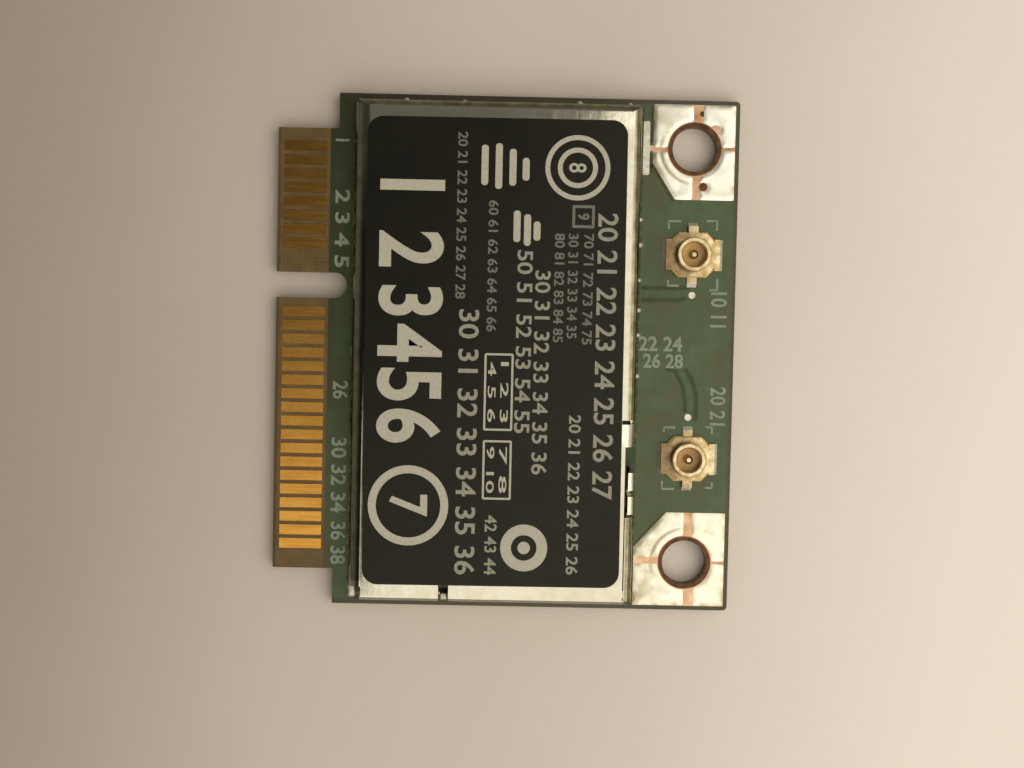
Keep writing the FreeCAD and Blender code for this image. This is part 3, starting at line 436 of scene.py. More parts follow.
for name, maker in (("gold_plating", gold_finish), ("solder", solder_finish),
                    ("shield_steel", can_finish), ("jack_gold", jack_gold_finish)):
    finishes[name] = maker()
print("metals:", sorted(finishes))

# %% [markdown]
# Five plainer metals follow one noise each: bare copper with a thin pinkish flash, the dull
# thin tin on the track beside the can, painted near black as shade under the can's edge, the
# duller solder that a hand iron leaves on the jacks, copper gone brown where neither solder nor
# lacquer covers it, and the rolled, plated lid of the crystal.

# %% plain metal finishes
PLAIN_METALS = {
    "copper": ("flashed_copper", (0.50, 0.30, 0.18), 0.4, 1.0, (0.9, 4.0, 0.5),
               [(0.3, (0.52, 0.35, 0.23)), (0.5, (0.46, 0.28, 0.16)), (0.75, (0.33, 0.18, 0.08))],
               [(0.3, 0.3), (0.8, 0.5)], 0.006),
    # painted shade: the track's dull tin is coloured near black for the shade under the can's edge
    "tinned_track": ("dull_tin_and_painted_shade", (0.10, 0.09, 0.045), 0.4, 0.8, (0.35, 4.0, 0.65),
                     [(0.3, (0.10, 0.097, 0.058)), (0.5, (0.050, 0.049, 0.025)),
                      (0.72, (0.026, 0.026, 0.012))], [(0.3, 0.3), (0.75, 0.5)], 0.004),
    "dull_solder": ("dull_solder", (0.62, 0.58, 0.46), 0.5, 0.85, (0.3, 3.0, 0.5),
                    [(0.3, (0.70, 0.66, 0.54)), (0.75, (0.50, 0.46, 0.34))], None, 0.008),
    "oxide": ("brown_oxide", (0.10, 0.045, 0.02), 0.5, 0.7, (0.3, 4.0, 0.6),
              [(0.3, (0.14, 0.065, 0.025)), (0.75, (0.05, 0.022, 0.01))], None, 0.004),
    "crystal_can": ("crystal_lid", (0.72, 0.70, 0.64), 0.26, 1.0, (0.1, 3.0, 0.6, (0.08, 1.0, 1.0)),
                    [(0.3, (0.76, 0.74, 0.68)), (0.75, (0.62, 0.59, 0.52))],
                    [(0.3, 0.2), (0.75, 0.34)], 0.002),
}
for name, values in PLAIN_METALS.items():
    finishes[name] = clouded(*values)
print("plain metals:", sorted(PLAIN_METALS))

# %% [markdown]
# ## Board finishes
# Bare laminate shows the weave of its glass cloth. The green lacquer is a thin see-through
# film over copper, so it is half metallic: it brightens where the lamp's mirror image falls
# and goes dark elsewhere. Copper areas under the film show as a lighter green, and the film
# thins to brown along the sawn edge of the board.

# %% board finishes
def laminate_finish():
    """Glass cloth in resin, with its plies showing where it is cut."""
    laminate = Finish("glass_laminate", (0.10, 0.062, 0.018), 0.42, Specular_IOR_Level=0.3)
    cloth = laminate.times(*(laminate.bands(way, 1.6, Distortion=1.5, Detail=2.0, Detail_Scale=3.0)
                             for way in "XY"))
    tone = laminate.plus(laminate.times(cloth, 0.3), laminate.noise(0.9, 4.0))
    colour = laminate.ramp(tone, [(0.35, (0.105, 0.060, 0.015)), (0.85, (0.150, 0.090, 0.026))])
    cut = laminate.ramp(laminate.bands("Z", 1.3, Distortion=0.4), [(0.3, 0.0), (0.7, 0.35)])
    laminate.set("Base Color", laminate.mix(cut, colour, (0.18, 0.12, 0.045)))
    laminate.emboss(laminate.plus(cloth, laminate.noise(0.08)), 0.001)
    return laminate


MASK_RIM = {"X": 13.12, "Y": 14.52}
LEFT_STRIP = -8.3


def mask_finish():
    """Green lacquer over copper, thin at the board's rim and in shade left of the can."""
    mask = Finish("green_lacquer", (0.055, 0.08, 0.028), 0.35, 0.6,
                  Coat_Weight=0.2, Coat_Roughness=0.1)
    green = mask.ramp(mask.noise(1.5, 5.0, 0.6), [
        (0.32, (0.050, 0.078, 0.028)), (0.5, (0.045, 0.064, 0.020)), (0.68, (0.058, 0.056, 0.016))])
    left = mask.share(mask.less(LEFT_STRIP, mask.axis("X")), 4.0)
    shade = mask.plus(mask.times(mask.axis("Y"), 0.011), 0.27)
    green = mask.mix(mask.times(left, shade), green, (0.02, 0.013, 0.006))
    past = [mask.less(mask.sums("ABSOLUTE", mask.axis(way)), rim) for way, rim in MASK_RIM.items()]
    rim = mask.share(mask.sums("MAXIMUM", *past), 6.0)
    mask.set("Base Color", mask.mix(rim, green, (0.046, 0.038, 0.016)))
    mask.set("Roughness", mask.ramp(mask.noise(0.7, 4.0), [(0.3, 0.32), (0.7, 0.40)]))
    mask.emboss(mask.noise(0.35, 3.0, 0.5), 0.002)
    return mask


finishes["laminate"] = laminate_finish()
finishes["solder_mask"] = mask_finish()
for name in ("laminate", "solder_mask"):
    print(name, "is", finishes[name].material.name)

# %% [markdown]
# ## Film, mouldings and ceramics
# The label is a black film with a faint orange-peel skin. The jacks sit in an ivory
# moulding, coloured golden brown as a painted reflection of the gold round it. Under the can
# are packages of black epoxy, fired ceramics and tinned ends; nobody sees them until the lid
# comes off, but they get their own finish all the same.

# %% film and moulded finishes
def film_finish():
    """Black label film."""
    film = Finish("black_film", (0.007, 0.0065, 0.0045), 0.28, 0.0, Specular_IOR_Level=0.18,
                  Specular_Tint=(1.0, 0.93, 0.74, 1.0))
    drift = film.noise(5.0, 1.0)
    colour = film.ramp(drift, [(0.3, (0.0065, 0.006, 0.0038)), (0.7, (0.0085, 0.0078, 0.005))])
    film.set("Base Color", colour)
    film.set("Roughness", film.ramp(film.noise(1.5, 1.0), [(0.3, 0.27), (0.7, 0.31)]))
    film.emboss(film.noise(0.25, 3.0, 0.5), 0.001)
    return film


def speckled(name, colour, dark, roughness, grain, depth):
    """A moulded, fired or printed body: one colour with a fine grain and a shallow relief."""
    return clouded(name, colour, roughness, 0.0, (grain, 4.0, 0.65),
                   [(0.35, colour), (0.75, dark)],
                   [(0.3, roughness * 0.85), (0.75, roughness * 1.15)], depth)


finishes["label_film"] = film_finish()
for slot, colour, dark, roughness, grain, depth in (
        # painted reflection: the ivory moulding is coloured golden brown, as the gold walls round
        # it tint it
        ("jack_moulding", (0.78, 0.47, 0.15), (0.62, 0.35, 0.09), 0.45, 0.12, 0.002),
        ("package_moulding", (0.030, 0.029, 0.028), (0.020, 0.020, 0.020), 0.55, 0.05, 0.004),
        ("ferrite", (0.095, 0.095, 0.10), (0.06, 0.06, 0.065), 0.6, 0.08, 0.006),
        ("filter_ceramic", (0.70, 0.67, 0.60), (0.60, 0.56, 0.48), 0.45, 0.10, 0.003),
        ("capacitor_ceramic", (0.46, 0.34, 0.20), (0.36, 0.25, 0.14), 0.42, 0.10, 0.003),
        ("resistor_ceramic", (0.045, 0.045, 0.05), (0.03, 0.03, 0.035), 0.35, 0.10, 0.003),
        ("label_ink", (0.485, 0.445, 0.328), (0.40, 0.365, 0.27), 0.55, 0.15, 0.001),
        ("label_middle", (0.31, 0.285, 0.205), (0.24, 0.22, 0.155), 0.55, 0.15, 0.001),
        ("label_fine", (0.165, 0.15, 0.11), (0.12, 0.11, 0.08), 0.55, 0.15, 0.001),
        ("gap_lacquer", (0.034, 0.045, 0.016), (0.028, 0.037, 0.013), 0.35, 0.3, 0.002),
        ("track_lacquer", (0.056, 0.082, 0.032), (0.046, 0.068, 0.024), 0.35, 0.3, 0.002),
        ("legend_ink", (0.27, 0.31, 0.215), (0.18, 0.21, 0.135), 0.6, 0.15, 0.002)):
    finishes[slot] = speckled(slot + "_body", colour, dark, roughness, grain, depth)
for slot in ("gap_lacquer", "track_lacquer"):
    finishes[slot].set("Metallic", 0.6)
print("finishes:", len(finishes))

# %% [markdown]
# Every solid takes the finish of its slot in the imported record. The slot's name is the name
# of the plain material that came in with it.

# %% dress the solids
def slot_of(node):
    """The record's slot of a node."""
    return nodes[node].data.materials[0].name.split(".")[0]


node_slots = {node: slot_of(node) for node in nodes}
for node, slot in node_slots.items():
    nodes[node].data.materials[0] = finishes[slot].material
nodes["shield_track"].data.materials[0] = finishes["tinned_track"].material
for place in "12":
    nodes[f"antenna_jack_{place}_solder"].data.materials[0] = finishes["dull_solder"].material
print("dressed", len(node_slots), "nodes in", len(set(node_slots.values())), "finishes")

# %% [markdown]
# ## Making pieces
# Flat print, strips and bars are all thin closed prisms: an outline, a floor and a height.
# They are gathered in one bmesh for each piece, so a piece is a single plain mesh.

# %% piece helpers
def finish_piece(name, mesh, slot, finish=None, replaced=(), smooth=None):
    """Puts a mesh, drawn in millimetres, into the scene as a piece of the card."""
    mesh.name = name
    mesh.transform(Matrix.Scale(MM, 4))
    mesh.materials.clear()
    mesh.materials.append(finishes[finish or slot].material)
    if smooth is not None:
        mesh.polygons.foreach_set("use_smooth", [True] * len(mesh.polygons))
        mesh.set_sharp_from_angle(angle=math.radians(smooth))
    piece = bpy.data.objects.new(name, mesh)
    bpy.context.scene.collection.objects.link(piece)
    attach(piece, "root")
    if replaced:
        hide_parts(*replaced)
    return piece


def bmesh_piece(name, shapes, slot, **rest):
    """A piece from a bmesh."""
    mesh = bpy.data.meshes.new(name)
    shapes.to_mesh(mesh)
    shapes.free()
    return finish_piece(name, mesh, slot, **rest)


def rounded_box(x0, x1, y0, y1, radius, steps=5):
    """The outline of a box with round corners, counter-clockwise."""
    points = []
    corners = ((x1 - radius, y1 - radius), (x0 + radius, y1 - radius),
               (x0 + radius, y0 + radius), (x1 - radius, y0 + radius))
    for quarter, (cx, cy) in enumerate(corners):
        for step in range(steps + 1):
            angle = (quarter + step / steps) * math.pi / 2
            points.append((cx + radius * math.cos(angle), cy + radius * math.sin(angle)))
    return points


def circle(x, y, radius, steps=40):
    """A circle's outline, counter-clockwise."""
    turns = [2 * math.pi * step / steps for step in range(steps)]
    return [(x + radius * math.cos(a), y + radius * math.sin(a)) for a in turns]


def join_rings(shapes, rings, around=False):
    """Faces between rings of vertices. Around also joins the last ring to the first."""
    pairs = list(zip(rings, rings[1:])) + [(rings[-1], rings[0])] * around
    for first, second in pairs:
        for i in range(len(first)):
            j = (i + 1) % len(first)
            shapes.faces.new((first[i], first[j], second[j], second[i]))


def ring_at(shapes, outline, z):
    """The vertices of an outline at a height."""
    return [shapes.verts.new((x, y, z)) for x, y in outline]


def add_stack(shapes, levels):
    """A closed shape through outlines with as many points each, from (outline, z) levels."""
    rings = [ring_at(shapes, outline, z) for outline, z in levels]
    shapes.faces.new(rings[0][::-1])
    shapes.faces.new(rings[-1])
    join_rings(shapes, rings)


def add_prism(shapes, outline, low, high):
    """A closed prism over an outline."""
    add_stack(shapes, [(outline, low), (outline, high)])


def add_band(shapes, outer, inner, low, high):
    """A closed band between two outlines with as many points each."""
    corners = ((outer, low), (outer, high), (inner, high), (inner, low))
    rings = [ring_at(shapes, outline, z) for outline, z in corners]
    join_rings(shapes, rings, around=True)


def add_strip(shapes, line, width, low, high):
    """A closed strip of even width along a line of points."""
    line = [Vector(point) for point in line]
    sides = ([], [])
    for i, point in enumerate(line):
        ahead = line[min(i + 1, len(line) - 1)] - line[max(i - 1, 0)]
        across = Vector((-ahead.y, ahead.x)).normalized() * width / 2
        sides[0].append(tuple(point - across))
        sides[1].append(tuple(point + across))
    add_prism(shapes, sides[0] + sides[1][::-1], low, high)


BEAD_ROUND, BEAD_STEPS = 0.13, 4


def add_bead(shapes, x0, x1, y0, y1, low, high):
    """A closed bead over a box with round corners, rounded over at its top."""
    insets = [(0.0, low)]
    for step in range(BEAD_STEPS + 1):
        turn = math.pi / 2 * step / BEAD_STEPS
        drop = BEAD_ROUND * (1 - math.sin(turn))
        insets.append((BEAD_ROUND * (1 - math.cos(turn)), high - drop))
    add_stack(shapes, [(rounded_box(x0 + inset, x1 - inset, y0 + inset, y1 - inset,
                                    BEAD_ROUND + 0.02 - inset), z) for inset, z in insets])


def add_block(shapes, x0, x1, y0, y1, low, high):
    """A closed block."""
    add_prism(shapes, [(x0, y0), (x1, y0), (x1, y1), (x0, y1)], low, high)


print("piece helpers ready")

# %% [markdown]
# ## The can's lid and frame
# The lid is one sheet with four sides folded down and mitred at the corners. Slots part the
# sides into spring fingers that grip the frame. On the right a wider finger, bent further in,
# sits beside an open window, one slot at the bottom runs right through the rim, and the lower
# left corner is open. A round fold can't come out of a prism along Z, so each stretch of side
# is a strip with the fold's own profile, swept along the side. The frame below keeps its
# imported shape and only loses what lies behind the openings. Booleans cut them one by one,
# because cutters that overlap in one boolean can leave nothing at all.

# %% can lid
SHEET, SEAT = 0.15, 0.05
FOLD_STEPS = 8
FINGER_TOP, FINGER_LOW = 2.20, 1.65


def side_point(side, out, along, z):
    """A point on one side of the can, by how far out it is and its place along the side."""
    axis, sign = side
    return (sign * out, along, z) if axis == "x" else (along, sign * out, z)


def fold_profile(outer, bend, low):
    """The section of folded sheet as (out, z), from the flat round the fold and down."""
    turns = [math.pi / 2 * step / FOLD_STEPS for step in range(FOLD_STEPS + 1)]
    out, up = outer - bend, LID_TOP - bend

    def arc(radius):
        return [(out + radius * math.sin(a), up + radius * math.cos(a)) for a in turns]

    skin = [(out - SEAT, LID_TOP), *arc(bend), (outer, low)]
    back = [(outer - SHEET, low), *arc(bend - SHEET)[::-1], (out - SEAT, LID_TOP - SHEET)]
    return skin + back


def add_fold(shapes, side, outer, start, end, bend, low=FINGER_TOP, lean=(0.0, 0.0)):
    """A stretch of folded side. Its ends may lean out, which closes the corners."""
    profile = fold_profile(outer, bend, low)
    rings = []
    for place, slope in ((start, -lean[0]), (end, lean[1])):
        ring = []
        for out, z in profile:
            reach = out - profile[0][0]
            along = place + slope * (reach - 0.45 * reach * reach)
            ring.append(shapes.verts.new(side_point(side, out, along, z)))
        rings.append(ring)
    join_rings(shapes, rings)
    count = len(profile)
    for ring in rings:
        for i in range(count // 2 - 1):
            shapes.faces.new((ring[i], ring[i + 1], ring[count - 2 - i], ring[count - 1 - i]))


def notched(x0, x1, y0, y1, right=(), bottom=()):
    """A box's outline with notches (from, to, depth) in its right and bottom edges."""
    points = [(x0, y1), (x0, y0)]
    for start, end, depth in bottom:
        points += [(start, y0), (start, y0 + depth), (end, y0 + depth), (end, y0)]
    points.append((x1, y0))
    for start, end, depth in right:
        points += [(x1, start), (x1 - depth, start), (x1 - depth, end), (x1, end)]
    return points + [(x1, y1)]


flat = dict(left=LID_LEFT - LEFT_BEND - SEAT, right=LID_RIGHT - RIGHT_BEND - SEAT,
            top=LID_END - TOP_BEND - SEAT, bottom=LID_END - BOTTOM_BEND - SEAT)
SIDE_SLIT = (-3.94, -3.70)
CLIP = (-5.24, -3.94)
WINDOW = (-6.42, -5.24)
END_SLIT = (-3.56, -2.98)
END_SLIT_DEPTH = 0.68
CLIP_BEND, CLIP_LOW = 0.72, 1.75
TAB_BEND = 0.30
TABS = ((-flat["bottom"], -9.32), (-9.14, -8.10), (-7.76, -6.72))
CORNER = -13.62
lid = bmesh.new()
add_prism(lid, notched(-flat["left"], flat["right"], -flat["bottom"], flat["top"],
                       right=[(CLIP[0], SIDE_SLIT[1], CLIP_BEND - RIGHT_BEND)],
                       bottom=[(*END_SLIT, END_SLIT_DEPTH)]), LID_TOP - SHEET, LID_TOP)


def mitre(own, other):
    """How much the end of a side leans out, where sides of two bends meet at a corner."""
    return (other + SEAT) / (own + SEAT)


SIDES = (
    (("x", 1), LID_RIGHT, RIGHT_BEND - 0.06, *TABS[0], (mitre(RIGHT_BEND, BOTTOM_BEND), 0.0)),
    (("x", 1), LID_RIGHT, RIGHT_BEND, SIDE_SLIT[1], flat["top"],
     (0.0, mitre(RIGHT_BEND, TOP_BEND))),
    (("x", -1), LID_LEFT, LEFT_BEND, CORNER, flat["top"], (0.0, mitre(LEFT_BEND, TOP_BEND))),
    (("y", 1), LID_END, TOP_BEND, -flat["left"], flat["right"],
     (mitre(TOP_BEND, LEFT_BEND), mitre(TOP_BEND, RIGHT_BEND))),
    (("y", -1), LID_END, BOTTOM_BEND, -flat["left"], END_SLIT[0], (0.3, 0.0)),
    (("y", -1), LID_END, BOTTOM_BEND, END_SLIT[1], flat["right"],
     (0.0, mitre(BOTTOM_BEND, RIGHT_BEND))),
)
for side, outer, bend, start, end, lean in SIDES:
    add_fold(lid, side, outer, start, end, bend, min(FINGER_TOP, LID_TOP - bend), lean)
bmesh.ops.recalc_face_normals(lid, faces=lid.faces)
clips = bmesh.new()
add_fold(clips, ("x", 1), LID_RIGHT, *CLIP, bend=CLIP_BEND, low=CLIP_LOW)
for start, end in TABS[1:]:
    add_fold(clips, ("x", 1), LID_RIGHT, start, end, bend=TAB_BEND, low=FINGER_LOW)
bmesh.ops.recalc_face_normals(clips, faces=clips.faces)
# painted highlight: the clips and tabs take the brighter solder finish instead of the can's, where
# they face the lamp
bmesh_piece("can_clips", clips, "shield_steel", finish="solder", smooth=35)
print("lid:", len(lid.faces), "faces before the fingers")

# %% spring fingers
FINGER_GAP, FINGER_PITCH = 0.30, 3.36
for side, outer, bend, start, end, _ in SIDES:
    count = max(1, round((end - start) / FINGER_PITCH))
    width = (end - start + FINGER_GAP) / count
    high = min(FINGER_TOP, LID_TOP - bend)
    for index in range(count):
        first = start + index * width
        corners = [side_point(side, out, along, 0) for out in (outer - SHEET, outer)
                   for along in (first, first + width - FINGER_GAP)]
        xs, ys, _ = zip(*corners)
        add_block(lid, min(xs), max(xs), min(ys), max(ys), FINGER_LOW, high)
lid_piece = bmesh_piece("can_lid", lid, "shield_steel", smooth=35, replaced=["shield_lid"])
print(lid_piece.name, len(lid_piece.data.polygons), "faces")


# %% frame with its openings
def spare_object(name, shapes, scale=1.0):
    """An object from a bmesh, which a modifier needs for a moment."""
    mesh = bpy.data.meshes.new(name)
    shapes.to_mesh(mesh)
    shapes.free()
    mesh.transform(Matrix.Scale(scale, 4))
    made = bpy.data.objects.new(name, mesh)
    bpy.context.scene.collection.objects.link(made)
    return made


def carve(node, blocks):
    """A copy of a node's mesh, merged, in millimetres, with blocks cut out one by one."""
    shapes = bmesh.new()
    shapes.from_mesh(nodes[node].data)
    bmesh.ops.remove_doubles(shapes, verts=shapes.verts, dist=1e-6)
    solid = spare_object("solid", shapes, 1 / MM)
    objects = [solid]
    for block in blocks:
        shapes = bmesh.new()
        add_block(shapes, *block)
        objects.append(spare_object("cutter", shapes))
        cut = solid.modifiers.new("cut", "BOOLEAN")
        cut.object = objects[-1]
        cut.operation = "DIFFERENCE"
    graph = bpy.context.evaluated_depsgraph_get()
    mesh = bpy.data.meshes.new_from_object(solid.evaluated_get(graph), depsgraph=graph)
    for spare in objects:
        bpy.data.objects.remove(spare)
    return mesh


ABOVE_CAN = 2.7
OPENINGS = {
    "window": (6.80, 7.75, WINDOW[0], SIDE_SLIT[1], 0.9),
    "behind the tabs": (6.80, 7.35, -13.6, WINDOW[0], 2.0),
    "between two tabs": (6.80, 7.70, TABS[1][1], TABS[2][0], 1.6),
    "beside the last tab": (6.80, 7.70, TABS[0][1], TABS[1][0], 1.6),
    "end slit": (*END_SLIT, -14.5, -13.4, 1.3),
    "lower left corner": (-8.8, -7.8, -14.5, CORNER, 0.9),
}
frame_mesh = carve("shield_frame", [(*opening, ABOVE_CAN) for opening in OPENINGS.values()])
frame_piece = finish_piece("can_frame", frame_mesh, "shield_steel", smooth=35,
                           replaced=["shield_frame"])
print(frame_piece.name, len(frame_piece.data.polygons), "faces,", len(OPENINGS), "openings")

# %% [markdown]
# ## Solder on the two ground pads
# On the real card each pad round a screw hole carries four puddles of solder, parted by bare
# bars, with a bare ring round the hole. Solder has round edges and a domed, uneven skin, so
# a prism would look like tape. The puddle is a height field instead: every grid point knows
# its distance to the nearest limit, the rim is drawn onto the outline where that distance is
# zero, and the height rises from it in a quarter round.

# %% solder puddles
PAD_TOP = box_mm("ground_pad_upper_top")[1][2]
PAD_RIGHT, PAD_FAR, PAD_LOW = 13.15, 14.65, 9.16
CUT_FROM, CUT_RUN = 11.25, 2.1
BARE_RING = 1.60
PUDDLE_STEP = 0.05
PUDDLE_HEIGHT = 0.036
FILLET_WIDTH = 0.28


def soft_least(distances, blend=0.045):
    """The least of several distances, with the corners between them rounded."""
    stack = -np.stack(distances) / blend
    top = stack.max(axis=0)
    return -blend * (top + np.log(np.exp(stack - top).sum(axis=0)))


def from_hole(x, y):
    """The distance of points from the screw hole's centre."""
    return np.hypot(x - HOLE[0], y - HOLE[1])


def puddle_distance(x, y, pad):
    """How far a point is inside the solder of a pad, y counted outwards from the middle."""
    cut = (x - pad["edge"]) * CUT_RUN + (y - CUT_FROM) * pad["cut"]
    limits = [x - pad["edge"] - 0.01, PAD_RIGHT - x, PAD_FAR - y, y - PAD_LOW,
              cut / math.hypot(CUT_RUN, pad["cut"]) - 0.02, from_hole(x, y) - BARE_RING]
    for name, along, across, start in (("outer", y, x, HOLE[1]), ("inner", -y, x, -HOLE[1]),
                                       ("right", x, y, HOLE[0]), ("left", -x, y, -HOLE[0])):
        place, width = pad[name]
        limits.append(np.where(along > start, np.abs(across - place) - width / 2, 9.0))
    limits += [np.hypot(x - spot_x, y - spot_y) - size for spot_x, spot_y, size in pad["bare"]]
    return soft_least(limits)


def puddle_height(x, y, inside, pad):
    """The height of the skin over the pad: domed, a little wavy, grooved round the hole."""
    rise = np.clip(inside / FILLET_WIDTH, 0.0, 1.0)
    dome = 1.0 - (1.0 - rise) ** 2
    turn = np.arctan2(y - HOLE[1], x - HOLE[0])
    toward_cut = np.clip(np.cos(turn - math.radians(-145)) * 2.2 - 1.1, 0.0, 1.0)
    groove = np.exp(-((from_hole(x, y) - 2.02) / 0.13) ** 2) * toward_cut
    waves = (np.sin(x * 3.1 + 1.3 * np.sin(y * 2.3)) + np.sin(y * 4.3 + pad["phase"])) * 0.5
    return PUDDLE_HEIGHT * dome * (0.76 + 0.24 * waves) * (1.0 - 0.8 * groove)


def puddle_mesh(name, pad):
    """A closed mesh of the solder on one pad, drawn in millimetres."""
    xs = np.arange(pad["edge"] - 0.1, 13.3, PUDDLE_STEP)
    ys = np.arange(9.0, 14.8, PUDDLE_STEP)
    x, y = np.meshgrid(xs, ys, indexing="ij")
    middle = puddle_distance((x[1:, 1:] + x[:-1, :-1]) / 2, (y[1:, 1:] + y[:-1, :-1]) / 2, pad)
    kept = middle > 0.0
    uses = np.zeros(x.shape, int)
    for i in (0, 1):
        for j in (0, 1):
            uses[i:x.shape[0] - 1 + i, j:x.shape[1] - 1 + j] += kept
    rim = (uses > 0) & (uses < 4)
    for _ in range(4):
        inside = puddle_distance(x, y, pad)
        step = 1e-3
        slope_x = (puddle_distance(x + step, y, pad) - inside) / step
        slope_y = (puddle_distance(x, y + step, pad) - inside) / step
        size = np.maximum(slope_x ** 2 + slope_y ** 2, 0.2)
        x = np.where(rim, x - np.clip(inside * slope_x / size, -0.05, 0.05), x)
        y = np.where(rim, y - np.clip(inside * slope_y / size, -0.05, 0.05), y)
    inside = np.maximum(puddle_distance(x, y, pad), 0.0)
    height = np.where(rim, 0.0, puddle_height(x, y, inside, pad))
    used = uses > 0
    top = np.full(x.shape, -1)
    top[used] = np.arange(used.sum())
    bottom = np.where(rim, top, -1)
    inner = used & ~rim
    bottom[inner] = used.sum() + np.arange(inner.sum())
    side = pad["side"]
    verts = [(a, side * b, PAD_TOP + h) for a, b, h in zip(x[used], y[used], height[used])]
    verts += [(a, side * b, PAD_TOP) for a, b in zip(x[inner], y[inner])]
    faces = []
    for i, j in zip(*np.nonzero(kept)):
        corners = ((i, j), (i + 1, j), (i + 1, j + 1), (i, j + 1))
        faces.append([int(top[c]) for c in corners][::side])
        faces.append([int(bottom[c]) for c in corners][::-side])
    mesh = bpy.data.meshes.new(name)
    mesh.from_pydata(verts, [], faces)
    mesh.validate()
    return mesh


PADS = {
    "upper": dict(side=1, edge=8.40, cut=1.30, phase=0.4, outer=(10.99, 0.56), inner=(10.95, 0.46),
                  left=(12.03, 0.26), right=(12.13, 0.20),
                  bare=[(12.02, 13.22, 0.30), (11.40, 9.92, 0.27)]),
    "lower": dict(side=-1, edge=7.82, cut=1.88, phase=2.1, outer=(11.10, 0.60), inner=(10.97, 0.50),
                  left=(12.00, 0.40), right=(12.09, 0.18), bare=[]),
}
for pad_name, pad in PADS.items():
    mesh = puddle_mesh("pad_solder_" + pad_name, pad)
    puddles = finish_piece("pad_solder_" + pad_name, mesh, "solder", smooth=50,
                           replaced=["ground_pad_solder_" + pad_name])
    print(puddles.name, len(mesh.polygons), "faces")

# %% [markdown]
# ## Solder along the can's frame
# The frame's feet are held by small fillets of solder. Each is a rounded lump that leans on
# the foot and runs out on the track. They are all alike but for their size, so one lump is
# drawn and Geometry Nodes puts it on a point at each foot, scaled and turned by the point's
# own values and varied a little by a fixed seed. The same tree sets a few stray blobs.

# %% geometry nodes helper
def new_tree(name, sizes):
    """A Geometry Nodes tree with named inputs: {name: (socket type, value)}."""
    tree = bpy.data.node_groups.new(name, "GeometryNodeTree")
    tree.interface.new_socket("Geometry", in_out="INPUT", socket_type="NodeSocketGeometry")
    tree.interface.new_socket("Geometry", in_out="OUTPUT", socket_type="NodeSocketGeometry")
    for label, (kind, value) in sizes.items():
        socket = tree.interface.new_socket(label, in_out="INPUT", socket_type="NodeSocket" + kind)
        if value is not None:
            socket.default_value = value
    return tree


def add_node(tree, kind, links=(), values=(), **settings):
    """A node of a tree, with its settings, values and incoming links by socket name or number."""
    made = tree.nodes.new(kind)
    for setting, value in settings.items():
        setattr(made, setting, value)
    for socket, value in dict(values).items():
        made.inputs[socket].default_value = value
    for socket, output in dict(links).items():
        tree.links.new(output, made.inputs[socket])
    return made


def close_tree(tree, start, instances):
    """Ends a tree in Realize Instances and Set Material."""
    real = add_node(tree, "GeometryNodeRealizeInstances", {"Geometry": instances})
    painted = add_node(tree, "GeometryNodeSetMaterial",
                       {"Geometry": real.outputs[0], "Material": start.outputs["Material"]})
    add_node(tree, "NodeGroupOutput", {0: painted.outputs[0]})


def point_mesh(points, **attributes):
    """Loose points, in metres, with a float or vector value each."""
    mesh = bpy.data.meshes.new("points")
    mesh.from_pydata([Vector(point) * MM for point in points], [], [])
    for name, values in attributes.items():
        vector = not isinstance(values[0], float)
        layer = mesh.attributes.new(name, "FLOAT_VECTOR" if vector else "FLOAT", "POINT")
        flat = [c for value in values for c in value] if vector else values
        layer.data.foreach_set("vector" if vector else "value", flat)
    return mesh


def grow(tree, seed, values):
    """Runs a tree over a mesh and gives back the plain mesh that it makes, in millimetres."""
    source = bpy.data.objects.new("source", seed)
    bpy.context.scene.collection.objects.link(source)
    modifier = source.modifiers.new("grow", "NODES")
    modifier.node_group = tree
    for item in tree.interface.items_tree:
        if item.item_type == "SOCKET" and item.in_out == "INPUT" and item.name in values:
            modifier[item.identifier] = values[item.name]
    graph = bpy.context.evaluated_depsgraph_get()
    mesh = bpy.data.meshes.new_from_object(source.evaluated_get(graph), depsgraph=graph)
    bpy.data.objects.remove(source)
    mesh.transform(Matrix.Scale(1 / MM, 4))
    return mesh


def islands(node):
    """The lowest and highest corners of each separate body of a node, in millimetres."""
    mesh = nodes[node].data
    shapes = bmesh.new()
    shapes.from_mesh(mesh)
    bmesh.ops.remove_doubles(shapes, verts=shapes.verts, dist=1e-6)
    left = set(shapes.verts)
    found = []
    while left:
        stack = [left.pop()]
        group = list(stack)
        while stack:
            for edge in stack.pop().link_edges:
                for vert in edge.verts:
                    if vert in left:
                        left.remove(vert)
                        stack.append(vert)
                        group.append(vert)
        spots = np.array([vert.co for vert in group]) / MM
        found.append((spots.min(axis=0), spots.max(axis=0)))
    shapes.free()
    return sorted(found, key=lambda ends: tuple(ends[0].round(3)))


print("geometry nodes helper ready")

# %% solder fillets
LUMP_ROWS, LUMP_STEPS = 10, 5
FLOW = 0.6


